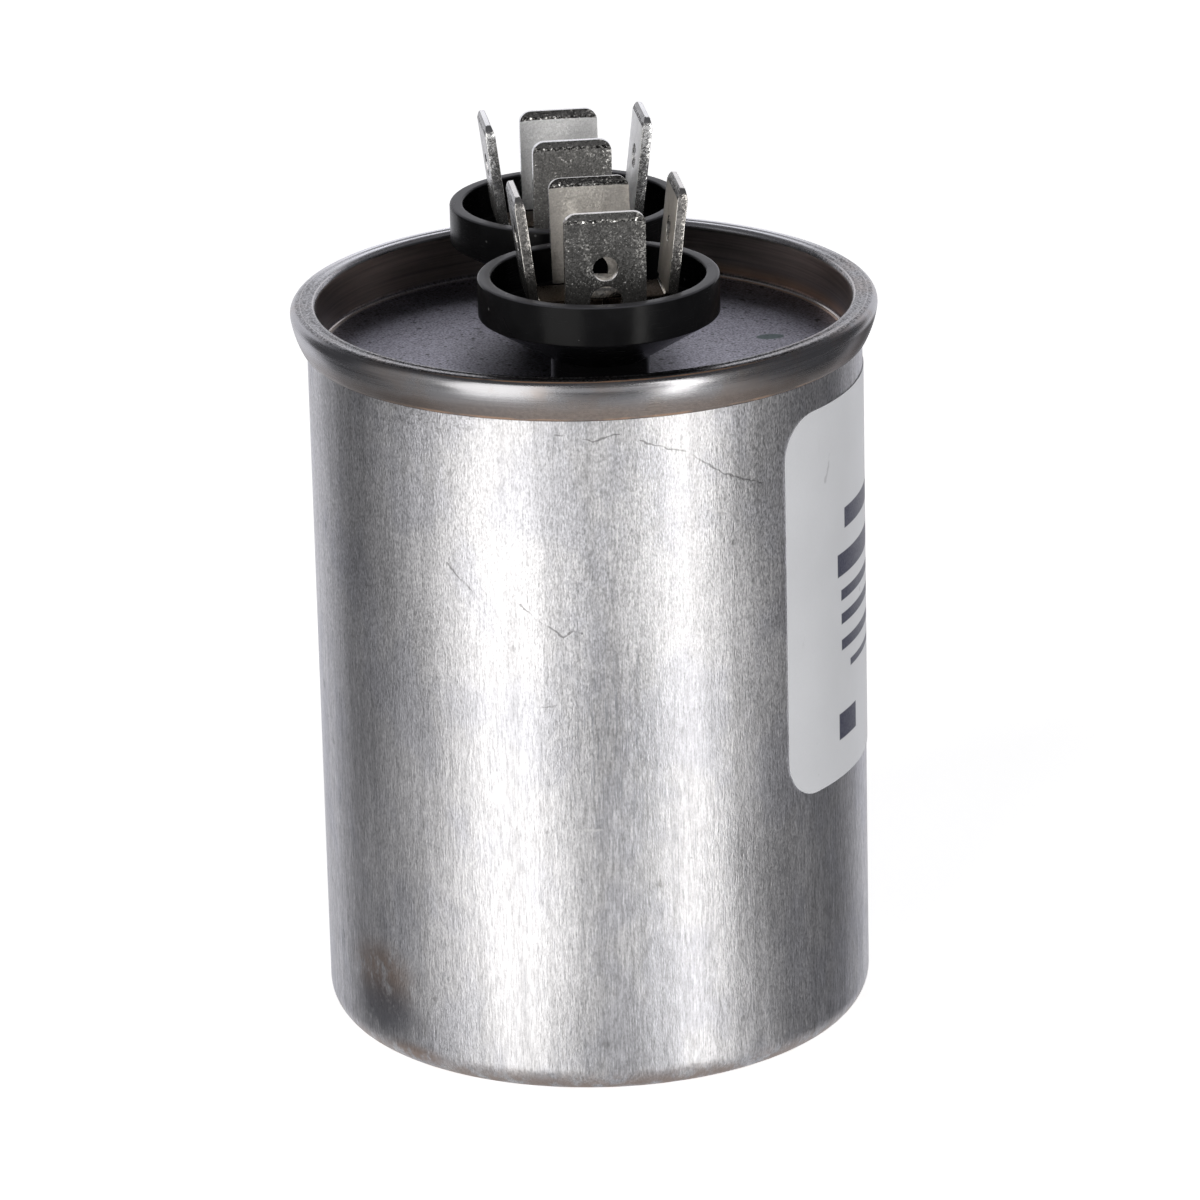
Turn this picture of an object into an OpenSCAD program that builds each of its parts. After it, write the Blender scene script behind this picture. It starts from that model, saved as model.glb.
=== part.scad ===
// Round motor-run capacitor: a drawn can closed by a rolled double seam, with two
// moulded terminal cups that each carry two crossed pairs of push-on blades.
// Millimetres, +Z up. The origin is the middle of the base, and the terminals stand on Y.

/* [Can] */
// Outside diameter of the straight wall
can_d = 44.45; // [42:0.05:60]
// Height from the base to the top of the rolled rim
can_h = 60.15; // [54:0.05:110]
// Sheet thickness of the can
can_t = 0.4; // [0.3:0.01:0.5]
// Outside radius of the bottom corner
base_corner_r = 2.5; // [1.5:0.1:4]

/* [Rolled rim] */
// Height of the rolled rim
seam_h = 3.2; // [3:0.05:3.8]
// Room between two folded layers
seam_gap = 0.1; // [0.06:0.01:0.14]
// How far the can's wall is necked in where the rim grips it
neck_in = 0.04; // [0.02:0.01:0.08]
// Room between a hook's end and the bend that it points into
hook_clear = 0.25; // [0.15:0.05:0.4]
// Inside radius of the rim's bend on the panel side
lip_bend_r = 0.3; // [0.2:0.05:0.4]
// Inside radius of the rim's bend on the outer side
crest_bend_r = 0.7; // [0.6:0.05:0.8]

/* [Cover] */
// Sheet thickness of the cover
cover_t = 0.3; // [0.25:0.01:0.35]
// Depth of the panel below the top of the rim
cover_depth = 4.2; // [3.6:0.05:6]
// Inside radius where the panel turns up into its wall
panel_corner_r = 0.8; // [0.4:0.05:1.5]
// Height of each raised seat above the panel
seat_h = 2.05; // [1.6:0.05:2.6]
// How far a seat's foot spreads beyond its top
seat_flare = 0.2; // [0.1:0.05:0.6]

/* [Terminal cups] */
// Outside diameter of a cup
cup_d = 19; // [17.5:0.1:22]
// Room between the two cups
cup_gap = 2.2; // [1:0.1:4]
// Wall thickness of a cup
cup_wall = 1.1; // [0.8:0.05:1.4]
// Height from the seat to the top of the cup
cup_h = 7.05; // [6.5:0.05:9]
// Depth from the top of the cup to its floor
cup_depth = 3.05; // [2.6:0.05:3.4]
// Height of the straight band outside
cup_band_h = 3.15; // [2.6:0.05:3.8]
// Rounding of the cup's upper edge
cup_edge_r = 0.22; // [0.1:0.02:0.3]
// Diameter of the cup's neck
neck_d = 7.8; // [7:0.1:9]
// Height of the neck below the cone
neck_h = 0.5; // [0.3:0.05:1]
// Diameter of the bush that passes through the cover
bush_d = 4.6; // [4.2:0.1:5]
// Length of the bush below the seat's sheet
bush_drop = 0.5; // [0.3:0.05:0.7]

/* [Blades] */
// Width of a blade
blade_w = 6.35; // [5:0.05:6.4]
// Thickness of a blade
blade_t = 0.8; // [0.6:0.05:0.85]
// Overall height of the lower pair
lower_h = 9.3; // [8:0.05:11]
// Overall height of the upper pair
upper_h = 9.45; // [8:0.05:11]
// Distance over the lower pair at its bends
lower_span = 9.64; // [9:0.02:10.4]
// Distance over the upper pair at its bends
upper_span = 11.7; // [10.6:0.02:12.6]
// Outward lean of the lower pair, in degrees
lower_lean = 2.3; // [0:0.1:5]
// Outward lean of the upper pair, in degrees
upper_lean = 6.9; // [0:0.1:9]
// Outward lean of the one lower blade that is bent back, between the two cups
bent_lean = 8.3; // [0:0.1:9]
// Width of the strip that joins the two blades of a pair
strip_w = 4.4; // [4.2:0.05:4.7]
// Inside radius of a blade's bend
bend_r = 0.4; // [0.3:0.05:0.5]
// How far a blade's shoulders reach below the top of its bend
shoulder_drop = 0.5; // [0.2:0.05:0.6]
// Rounding of a blade's two tip corners
tip_corner_r = 0.95; // [0.5:0.05:1.4]
// Height of the bevel at a blade's tip
tip_bevel = 0.7; // [0.4:0.05:0.9]
// Depth of that bevel on each face
tip_bevel_t = 0.2; // [0.1:0.02:0.26]
// Bevel along a blade's long edges
edge_bevel = 0.1; // [0.05:0.01:0.2]
// Diameter of the detent hole
detent_d = 2; // [1.6:0.05:2.2]
// Height of the lower pair's detent holes above its bends
lower_detent_z = 3.65; // [3.4:0.05:4.2]
// Height of the upper pair's detent holes above its bends
upper_detent_z = 4.45; // [3.4:0.05:5]
// Diameter of the hole over each bend of the lower pair
relief_d = 2.56; // [2:0.02:2.7]
// Height of that hole above the bend
relief_z = 0.95; // [0.6:0.05:1]

/* [Rivet and stack] */
// Diameter of the rivet's shank
rivet_d = 3; // [2.6:0.1:3.2]
// Diameter of the rivet's head
rivet_head_d = 4.8; // [4.2:0.1:5.2]
// Height of the rivet's head
rivet_head_h = 0.8; // [0.6:0.05:1]
// Height of the clinched end under the lug
clinch_h = 0.6; // [0.4:0.05:0.8]
// Room around the rivet, the bush and the washer
fit = 0.1; // [0.06:0.01:0.15]
// Thickness of the rubber washer
washer_t = 0.8; // [0.6:0.05:1]
// Diameter of the insulator's flange under the panel
flange_d = 12; // [10:0.1:14]
// Thickness of that flange
flange_t = 0.8; // [0.6:0.05:1.2]
// Thickness of the contact lug
lug_t = 0.5; // [0.4:0.05:0.8]
// Width of the contact lug
lug_w = 5; // [4.6:0.1:7]
// Reach of the lug from the rivet towards the middle
lug_reach = 6.8; // [6:0.1:7.4]

/* [Winding] */
// Room from the top of the winding to the cover
head_room = 9.5; // [8.5:0.1:14]
// Room between the insulating sleeve and the can
sleeve_gap = 0.3; // [0.2:0.05:0.6]
// Thickness of the insulating sleeve
sleeve_t = 0.6; // [0.4:0.05:1]
// How far the sleeve stands above the winding
sleeve_over = 1.2; // [0.9:0.1:2]
// Thickness of the plate under the winding
plate_t = 1; // [0.6:0.1:2]
// Thickness of the sprayed metal on each end
spray_t = 0.7; // [0.4:0.05:1.2]
// Outside diameter of the core tube
core_d = 10; // [8:0.1:12]
// Wall thickness of the core tube
core_wall = 1; // [0.6:0.1:1.5]
// Thickness of the interrupter disc
disc_t = 1.2; // [0.8:0.1:1.6]
// Width of a lead strip
lead_w = 3; // [2:0.1:3.6]
// Thickness of a lead strip
lead_t = 0.3; // [0.2:0.02:0.4]
// Length of a lead's foot on the sprayed metal
lead_foot = 8; // [7:0.1:10]

/* [Label] */
// Width of the label along the wall
label_w = 47; // [20:0.5:60]
// Height of the label
label_h = 31.9; // [12:0.1:38]
// Room between the label and the rolled rim
label_drop = 2.75; // [1:0.05:6]
// Direction of the label's left edge, in degrees from +X
label_start = -52.7; // [-120:0.1:60]
// Rounding of the label's corners
label_corner_r = 3.4; // [1:0.1:5]
// Thickness of the label
label_t = 0.06; // [0.04:0.01:0.1]
// Thickness of the adhesive under it
label_gap = 0.02; // [0.01:0.01:0.04]

/* [Hidden] */
$fn = 96;

// Length by which a cutter passes through what it cuts
through = 1;
// Which terminal: the front one stands at -Y
front = -1;
rear = 1;

// Layers of the rolled rim, from the inside outwards
can_r = can_d / 2;
can_in_r = can_r - can_t;
wall_r = can_r - neck_in;
chuck_r = wall_r - can_t - seam_gap - cover_t;
hook_r = wall_r + seam_gap;
body_hook_r = hook_r + cover_t + seam_gap;
rim_r = body_hook_r + can_t + seam_gap + cover_t;

// Heights in the rolled rim
seam_z = can_h - seam_h;
fold_r = (body_hook_r - wall_r) / 2;
fold_z = can_h - cover_t - seam_gap - fold_r - can_t;
curl_r = (rim_r - hook_r) / 2;
curl_z = seam_z + curl_r;
body_hook_z = curl_z + hook_clear;
cover_hook_z = fold_z - hook_clear;
// The neck starts a little below the rim
neck_room = 0.25;
neck_z = seam_z - neck_room;

// Heights of the cover
panel_z = can_h - cover_depth;
under_z = panel_z - cover_t;
seat_z = panel_z + seat_h;
seat_in_z = seat_z - cover_t;
// The seat is a little wider than the neck that stands on it
seat_edge = 0.05;
seat_r = neck_d / 2 + seat_edge;

// Places and heights of the terminals
pitch = cup_d + cup_gap;
cup_z = seat_z + cup_h;
floor_z = cup_z - cup_depth;
band_z = cup_z - cup_band_h;
upper_z = floor_z + blade_t;
head_z = upper_z + blade_t;
rivet_r = rivet_d / 2;
hole_r = rivet_r + fit;
bush_r = bush_d / 2;
// How far the sides of the rivet's head and clinched end draw in
head_slope = 0.35;

// Stack under the cover, from the top down
washer_r = seat_r - cover_t - fit;
washer_z = seat_in_z - washer_t;
flange_z = under_z - flange_t;
lug_z = flange_z - lug_t;
clinch_z = lug_z - clinch_h;
// The lug reaches a little past the clinched end on the outer side
lug_margin = 0.6;
lug_back = rivet_head_d / 2 + lug_margin;

// Winding stack, from the floor up
foot_z = base_corner_r;
plate_z = foot_z + plate_t;
stack_z = under_z - head_room;
spray_top_z = stack_z - spray_t;
spray_bottom_z = plate_z + spray_t;
sleeve_z = stack_z + sleeve_over;
disc_z = sleeve_z + disc_t;
sleeve_out_r = can_in_r - sleeve_gap;
sleeve_in_r = sleeve_out_r - sleeve_t;
// The wound film is this much clear of the sleeve and of the core
film_gap = 0.05;
film_r = sleeve_in_r - film_gap;
bore_r = core_d / 2 + film_gap;
core_in_r = core_d / 2 - core_wall;

// Leads: one rises beside the front lug's end, the other through the core
lead_room = 0.3;
lead_top_z = lug_z - lead_t;
riser_y = pitch / 2 - lug_reach;
core_riser_y = 1;
lead_tab = 2;

// Label
label_r = can_r + label_gap;
label_top_z = seam_z - label_drop;
label_z = label_top_z - label_h;
label_span = label_w / label_r * 180 / PI;

// Ring in the plane, kept only above or below its centre
module half_ring(r_in, t, upper) {
    r_out = r_in + t;
    difference() {
        circle(r_out);
        circle(r_in);
        translate([-r_out - through, upper ? -r_out - through : 0])
            square([2 * (r_out + through), r_out + through]);
    }
}

// Sector of a ring in the plane, from one angle round to another, at most a right angle
module ring_sector(r_in, t, from, to) {
    far = 2 * (r_in + t);
    intersection() {
        difference() {
            circle(r_in + t);
            circle(r_in);
        }
        polygon([
            [0, 0],
            far * [cos(from), sin(from)],
            far * [cos((from + to) / 2), sin((from + to) / 2)] * sqrt(2),
            far * [cos(to), sin(to)]
        ]);
    }
}

// Upright strip of sheet in the plane, between two heights
module wall_strip(r, t, z0, z1) {
    translate([r, z0])
        square([t, z1 - z0]);
}

// Half section of a pot with a rounded bottom corner
module pot_section(r, corner_r, z0, z1) {
    translate([0, z0])
        square([r - corner_r, z1 - z0]);
    wall_strip(0, r, z0 + corner_r, z1);
    translate([r - corner_r, z0 + corner_r])
        circle(corner_r);
}

// Flat ring between two radii
module ring(r_in, r_out, z0, z1) {
    translate([0, 0, z0])
        difference() {
            cylinder(r = r_out, h = z1 - z0);
            translate([0, 0, -through])
                cylinder(r = r_in, h = z1 - z0 + 2 * through);
        }
}

// Box across the middle plane x = 0, between two places on Y and two heights
module strip(w, y0, y1, z0, z1) {
    translate([-w / 2, y0, z0])
        cube([w, y1 - y0, z1 - z0]);
}

// Puts a piece on the front or the rear terminal's axis
module at_terminal(side) {
    translate([0, side * pitch / 2, 0])
        children();
}

// Can: drawn pot, necked under the rim, with its edge folded out and down into a hook
module can() {
    color("#b9bbbd")
        rotate_extrude() {
            difference() {
                pot_section(can_r, base_corner_r, 0, neck_z);
                pot_section(can_in_r, base_corner_r - can_t, can_t, neck_z + through);
            }
            wall_strip(wall_r - can_t, can_t, neck_z, fold_z);
            translate([wall_r + fold_r, fold_z])
                half_ring(fold_r, can_t, true);
            wall_strip(body_hook_r, can_t, body_hook_z, fold_z);
        }
}

// Half section of the cover's sheet: panel, wall, rim and the curl with its hook
module cover_section() {
    panel_end = chuck_r - panel_corner_r;
    lip_out_r = lip_bend_r + cover_t;
    crest_out_r = crest_bend_r + cover_t;
    translate([0, under_z])
        square([panel_end, cover_t]);
    translate([panel_end, panel_z + panel_corner_r])
        ring_sector(panel_corner_r, cover_t, -90, 0);
    wall_strip(chuck_r, cover_t, panel_z + panel_corner_r, can_h - lip_out_r);
    translate([chuck_r + lip_out_r, can_h - lip_out_r])
        ring_sector(lip_bend_r, cover_t, 90, 180);
    translate([chuck_r + lip_out_r, can_h - cover_t])
        square([rim_r - crest_out_r - chuck_r - lip_out_r, cover_t]);
    translate([rim_r - crest_out_r, can_h - crest_out_r])
        ring_sector(crest_bend_r, cover_t, 0, 90);
    wall_strip(rim_r - cover_t, cover_t, curl_z, can_h - crest_out_r);
    translate([hook_r + curl_r, curl_z])
        half_ring(curl_r - cover_t, cover_t, false);
    wall_strip(hook_r, cover_t, curl_z, cover_hook_z);
}

// Cover: the revolved sheet, with two hollow raised seats and their holes
module cover() {
    color("#4b484c")
        difference() {
            union() {
                rotate_extrude()
                    cover_section();
                for (side = [front, rear])
                    at_terminal(side)
                        translate([0, 0, under_z])
                            cylinder(r1 = seat_r + seat_flare, r2 = seat_r, h = seat_z - under_z);
            }
            for (side = [front, rear])
                at_terminal(side) {
                    translate([0, 0, under_z])
                        cylinder(
                            r1 = seat_r + seat_flare - cover_t,
                            r2 = seat_r - cover_t,
                            h = seat_in_z - under_z
                        );
                    translate([0, 0, under_z - through])
                        cylinder(r = seat_r + seat_flare - cover_t, h = through);
                    translate([0, 0, under_z])
                        cylinder(r = bush_r + fit, h = seat_h + cover_t + through);
                }
        }
}

// Sealing ring that fills the fold above the cover's hook
module seam_seal() {
    color("#7d6a4a")
        ring(hook_r, hook_r + cover_t, cover_hook_z, fold_z);
}

// Terminal cup: bush, neck, cone and a straight band with a rounded upper edge
module terminal_cup(side) {
    cup_r = cup_d / 2;
    in_r = cup_r - cup_wall;
    color("#18181a")
        at_terminal(side)
            rotate_extrude()
                difference() {
                    union() {
                        polygon([
                            [0, seat_in_z - bush_drop],
                            [bush_r, seat_in_z - bush_drop],
                            [bush_r, seat_z],
                            [neck_d / 2, seat_z],
                            [neck_d / 2, seat_z + neck_h],
                            [cup_r, band_z],
                            [cup_r, cup_z - cup_edge_r],
                            [0, cup_z - cup_edge_r]
                        ]);
                        translate([in_r + cup_edge_r, band_z])
                            square([cup_wall - 2 * cup_edge_r, cup_band_h]);
                        for (r = [in_r + cup_edge_r, cup_r - cup_edge_r])
                            translate([r, cup_z - cup_edge_r])
                                circle(cup_edge_r);
                    }
                    translate([0, floor_z])
                        square([in_r, cup_depth - cup_edge_r]);
                    translate([0, seat_in_z - bush_drop - through])
                        square([hole_r, cup_h + bush_drop + 2 * through]);
                }
}

// Face outline of a blade above its bend, with shoulders, rounded tip corners and its detent hole
module blade_outline(l, detent_z) {
    half_w = blade_w / 2;
    difference() {
        union() {
            translate([-half_w, -shoulder_drop])
                square([blade_w, l + shoulder_drop - tip_corner_r]);
            translate([-half_w + tip_corner_r, 0])
                square([blade_w - 2 * tip_corner_r, l]);
            for (x = [-half_w + tip_corner_r, half_w - tip_corner_r])
                translate([x, l - tip_corner_r])
                    circle(tip_corner_r);
        }
        translate([-strip_w / 2, -shoulder_drop - through])
            square([strip_w, shoulder_drop + through]);
        translate([0, detent_z])
            circle(detent_d / 2);
    }
}

// Flat blade, its bevelled tip and edges included: width on X, thickness on Y, up on Z
module blade(l, detent_z) {
    half_w = blade_w / 2;
    half_t = blade_t / 2;
    intersection() {
        rotate([90, 0, 0])
            translate([0, 0, -half_t])
                linear_extrude(blade_t)
                    blade_outline(l, detent_z);
        rotate([90, 0, 90])
            translate([0, 0, -half_w])
                linear_extrude(blade_w)
                    polygon([
                        [-half_t, -shoulder_drop],
                        [half_t, -shoulder_drop],
                        [half_t, l - tip_bevel],
                        [half_t - tip_bevel_t, l],
                        [-half_t + tip_bevel_t, l],
                        [-half_t, l - tip_bevel]
                    ]);
        translate([0, 0, -shoulder_drop])
            linear_extrude(l + shoulder_drop)
                polygon([
                    [-half_w + edge_bevel, -half_t],
                    [half_w - edge_bevel, -half_t],
                    [half_w, -half_t + edge_bevel],
                    [half_w, half_t - edge_bevel],
                    [half_w - edge_bevel, half_t],
                    [-half_w + edge_bevel, half_t],
                    [-half_w, half_t - edge_bevel],
                    [-half_w, -half_t + edge_bevel]
                ]);
    }
}

// One half of a blade pair, bent up towards +Y: strip, bend and the leaning blade
module blade_half(h, span, lean, detent_z, relieved) {
    bend_y = span / 2 - blade_t - bend_r;
    bend_z = blade_t + bend_r;
    mid_r = bend_r + blade_t / 2;
    l = (h - bend_z + mid_r * sin(lean)) / cos(lean);
    difference() {
        union() {
            rotate([90, 0, 90])
                translate([0, 0, -strip_w / 2])
                    linear_extrude(strip_w) {
                        square([bend_y, blade_t]);
                        translate([bend_y, bend_z])
                            ring_sector(bend_r, blade_t, -90, -lean);
                    }
            translate([0, bend_y, bend_z])
                rotate([-lean, 0, 0])
                    translate([0, mid_r, 0])
                        blade(l, detent_z);
        }
        if (relieved)
            translate([0, bend_y, bend_z])
                rotate([-lean, 0, 0])
                    translate([0, 0, relief_z])
                        rotate([-90, 0, 0])
                            cylinder(r = relief_d / 2, h = 2 * (bend_r + blade_t));
    }
}

// Pair of blades bent up from one strip, with the rivet's hole in the middle
module blade_pair(h, span, leans, detent_z, relieved) {
    difference() {
        for (i = [0, 1])
            rotate([0, 0, 180 * i])
                blade_half(h, span, leans[i], detent_z, relieved);
        translate([0, 0, -through])
            cylinder(r = hole_r, h = blade_t + 2 * through);
    }
}

// Lower pair: one blade to the front, one to the back
module lower_blades(side) {
    back_lean = side == front ? bent_lean : lower_lean;
    color("#b6b3ad")
        at_terminal(side)
            translate([0, 0, floor_z])
                blade_pair(lower_h, lower_span, [back_lean, lower_lean], lower_detent_z, true);
}

// Upper pair: laid across the lower one, one blade to the left, one to the right
module upper_blades(side) {
    color("#bdbab4")
        at_terminal(side)
            translate([0, 0, upper_z])
                rotate([0, 0, 90])
                    blade_pair(upper_h, upper_span, [upper_lean, upper_lean], upper_detent_z, false);
}

// Rivet through the whole stack: low turned head above, clinched end below
module rivet(side) {
    head_r = rivet_head_d / 2;
    color("#a9a69f")
        at_terminal(side)
            rotate_extrude()
                polygon([
                    [0, clinch_z],
                    [head_r - head_slope, clinch_z],
                    [head_r, lug_z],
                    [rivet_r, lug_z],
                    [rivet_r, head_z],
                    [head_r, head_z],
                    [head_r - head_slope, head_z + rivet_head_h],
                    [0, head_z + rivet_head_h]
                ]);
}

// Rubber washer around the bush, pressed up into the seat
module seal_washer(side) {
    color("#2b2b2d")
        at_terminal(side)
            ring(bush_r + fit, washer_r, washer_z, seat_in_z);
}

// Insulating bush under the panel, with a hub that holds the washer up
module inner_insulator(side) {
    color("#d8d2c0")
        at_terminal(side)
            union() {
                ring(hole_r, flange_d / 2, flange_z, under_z);
                ring(hole_r, washer_r, flange_z, washer_z);
            }
}

// Contact lug under the insulator, reaching towards the middle
module lug(side) {
    color("#c7b27a")
        at_terminal(side)
            difference() {
                rotate([0, 0, side == front ? 0 : 180])
                    strip(lug_w, -lug_back, lug_reach, lug_z, flange_z);
                translate([0, 0, lug_z - through])
                    cylinder(r = hole_r, h = lug_t + 2 * through);
            }
}

// Disc on top of the sleeve, slotted for the two leads
module interrupter_disc() {
    slot_w = lead_w + 2 * lead_room;
    slot_l = lead_t + 2 * lead_room;
    color("#a58a5a")
        difference() {
            translate([0, 0, sleeve_z])
                cylinder(r = sleeve_out_r, h = disc_t);
            for (y = [-riser_y - lead_t - lead_room, core_riser_y - lead_room])
                strip(slot_w, y, y + slot_l, sleeve_z - through, disc_z + through);
        }
}

// Lead from the top of the winding up to the front lug
module top_lead() {
    out_y = -riser_y - lead_t;
    color("#cfcac0")
        union() {
            strip(lead_w, -riser_y - lead_foot, -riser_y, stack_z, stack_z + lead_t);
            strip(lead_w, out_y, -riser_y, stack_z, lug_z);
            strip(lead_w, out_y - lead_tab, -riser_y, lead_top_z, lug_z);
        }
}

// Lead from the bottom of the winding, up through the core and across to the rear lug
module bottom_lead() {
    color("#cfcac0")
        union() {
            strip(lead_w, core_riser_y, core_riser_y + lead_foot, plate_z - lead_t, plate_z);
            strip(lead_w, core_riser_y, core_riser_y + lead_t, plate_z - lead_t, lug_z);
            strip(lead_w, core_riser_y, riser_y + lead_tab, lead_top_z, lug_z);
        }
}

// Wound film between the two sprayed ends
module winding() {
    color("#d9d6cc")
        ring(bore_r, film_r, spray_bottom_z, spray_top_z);
}

// Tube that the film is wound on
module core_tube() {
    color("#e4dfd0")
        ring(core_in_r, core_d / 2, plate_z, stack_z);
}

// Sprayed metal on the upper end of the winding
module top_end_spray() {
    color("#9b9a96")
        ring(bore_r, film_r, spray_top_z, stack_z);
}

// Sprayed metal on the lower end of the winding
module bottom_end_spray() {
    color("#9b9a96")
        ring(bore_r, film_r, plate_z, spray_bottom_z);
}

// Wrap between the winding and the can
module insulating_sleeve() {
    color("#e9e6dc")
        ring(sleeve_in_r, sleeve_out_r, plate_z, sleeve_z);
}

// Stepped plate under the winding: its foot stands on the can's floor, inside the corner
module bottom_insulator() {
    groove_w = lead_w + 2 * lead_room;
    groove_y = core_riser_y - lead_room;
    color("#e9e6dc")
        difference() {
            union() {
                translate([0, 0, can_t])
                    cylinder(r = can_r - base_corner_r - fit, h = plate_z - can_t);
                translate([0, 0, foot_z])
                    cylinder(r = sleeve_out_r, h = plate_t);
            }
            strip(
                groove_w, groove_y, core_riser_y + lead_foot + lead_room,
                plate_z - lead_t, plate_z + through
            );
        }
}

// Paper label bent round the wall, with rounded corners
module label() {
    color("#e6e7e8")
        difference() {
            intersection() {
                ring(label_r, label_r + label_t, label_z, label_top_z);
                rotate([0, 0, label_start])
                    rotate_extrude(angle = label_span)
                        translate([label_r - through, label_z - through])
                            square([2 * through, label_h + 2 * through]);
            }
            for (right = [0, 1], top = [0, 1])
                label_corner(right, top);
        }
}

// Cutter for one corner of the label: a block with the corner's round left out
module label_corner(right, top) {
    corner_turn = label_corner_r / label_r * 180 / PI;
    turn = label_start + (right ? label_span - corner_turn : corner_turn);
    z = top ? label_top_z - label_corner_r : label_z + label_corner_r;
    block = label_corner_r + through;
    depth = 2 * label_corner_r;
    translate([0, 0, z])
        rotate([0, 0, turn])
            translate([label_r - label_corner_r, 0, 0])
                rotate([90, 0, 90])
                    linear_extrude(depth)
                        difference() {
                            translate([right ? 0 : -block, top ? 0 : -block])
                                square(block);
                            circle(label_corner_r);
                        }
}

module front_terminal_cup() { terminal_cup(front); }
module rear_terminal_cup() { terminal_cup(rear); }
module front_lower_blades() { lower_blades(front); }
module rear_lower_blades() { lower_blades(rear); }
module front_upper_blades() { upper_blades(front); }
module rear_upper_blades() { upper_blades(rear); }
module front_rivet() { rivet(front); }
module rear_rivet() { rivet(rear); }
module front_seal_washer() { seal_washer(front); }
module rear_seal_washer() { seal_washer(rear); }
module front_inner_insulator() { inner_insulator(front); }
module rear_inner_insulator() { inner_insulator(rear); }
module front_lug() { lug(front); }
module rear_lug() { lug(rear); }

can();
cover();
seam_seal();
front_terminal_cup();
rear_terminal_cup();
front_lower_blades();
rear_lower_blades();
front_upper_blades();
rear_upper_blades();
front_rivet();
rear_rivet();
front_seal_washer();
rear_seal_washer();
front_inner_insulator();
rear_inner_insulator();
front_lug();
rear_lug();
interrupter_disc();
top_lead();
bottom_lead();
winding();
core_tube();
top_end_spray();
bottom_end_spray();
insulating_sleeve();
bottom_insulator();
label();
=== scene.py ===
"""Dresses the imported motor-run capacitor and sets it in a plain studio.

Sizes are millimetres in the row frame, turned into metres where a piece is modelled.
"""

import logging
import math
from collections.abc import Callable
from dataclasses import dataclass, field, replace
from enum import Enum

import bpy
from mathutils import Matrix, Vector


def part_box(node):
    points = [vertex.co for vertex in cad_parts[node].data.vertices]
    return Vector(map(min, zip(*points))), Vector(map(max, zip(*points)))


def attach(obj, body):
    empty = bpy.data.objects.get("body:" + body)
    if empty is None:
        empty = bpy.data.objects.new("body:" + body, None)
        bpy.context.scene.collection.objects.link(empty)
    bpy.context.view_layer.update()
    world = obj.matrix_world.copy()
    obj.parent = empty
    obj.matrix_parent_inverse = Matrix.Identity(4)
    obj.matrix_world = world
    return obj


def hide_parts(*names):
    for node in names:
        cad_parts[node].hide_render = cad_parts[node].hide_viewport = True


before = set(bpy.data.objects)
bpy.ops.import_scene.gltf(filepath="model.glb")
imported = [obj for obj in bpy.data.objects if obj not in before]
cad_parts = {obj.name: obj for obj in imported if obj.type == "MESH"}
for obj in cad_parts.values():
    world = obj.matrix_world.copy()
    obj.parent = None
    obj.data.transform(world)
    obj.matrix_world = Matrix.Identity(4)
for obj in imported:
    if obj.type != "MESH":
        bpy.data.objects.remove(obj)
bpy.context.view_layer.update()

LOG = logging.getLogger("capacitor")
MM = 0.001
FULL_TURN = 2 * math.pi
# Largest angle in degrees that is shaded smooth, and distance below which points merge.
SMOOTH = 35.0
MERGE = 0.001
WALL_R = 22.225
PANEL_Z = 55.95
LABEL_START = -52.7

Colour = tuple[float, float, float]
Span = tuple[float, float]
Marks = tuple[tuple[tuple[float, float], ...], ...]
Socket = bpy.types.NodeSocket
Amount = Socket | float


class Terminal(Enum):
    """The two terminals, by which side of the can's axis they stand on."""

    FRONT = -1
    REAR = 1

    @property
    def label(self) -> str:
        """Name used in the frame's node names."""
        return self.name.lower()

    @property
    def y(self) -> float:
        """Place of the terminal's axis on Y, read from its cup in the frame, in millimetres."""
        low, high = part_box(f"{self.label}_terminal_cup")
        return (low.y + high.y) / 2 / MM


class Pair(Enum):
    """The two crossed blade pairs of a terminal."""

    LOWER = "lower"
    UPPER = "upper"


class Face(Enum):
    """Sides of a blade with their material slot, each painted lighter or darker as the light falls on it."""

    OUTER = 0
    INNER = 1
    EDGE = 2
    TIP = 3
    STRIP = 4
    GLINT = 5
    CUT = 6


def top_of(node: str) -> float:
    """Height of a CAD node's highest point, in millimetres."""
    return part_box(node)[1].z / MM


def bottom_of(node: str) -> float:
    """Height of a CAD node's lowest point, in millimetres."""
    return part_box(node)[0].z / MM


@dataclass
class Profile:
    """Half section of a turned piece, drawn point by point as (radius, height)."""

    points: list[tuple[float, float]] = field(default_factory=list)

    def to(self, r: float, z: float) -> "Profile":
        """Draws a straight line to a point."""
        self.points.append((r, z))
        return self

    def arc(self, r: float, z: float, radius: float, start: float, end: float, steps: int = 8) -> "Profile":
        """Draws a round stretch.

        Args:
            r: radius of the arc's centre.
            z: height of the arc's centre.
            radius: the arc's own radius.
            start: first angle in degrees, counted from outward towards up.
            end: last angle in degrees.
            steps: number of straight pieces.

        Returns:
            The profile itself.
        """
        for i in range(steps + 1):
            turn = math.radians(start + (end - start) * i / steps)
            self.to(r + radius * math.cos(turn), z + radius * math.sin(turn))
        return self


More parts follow.
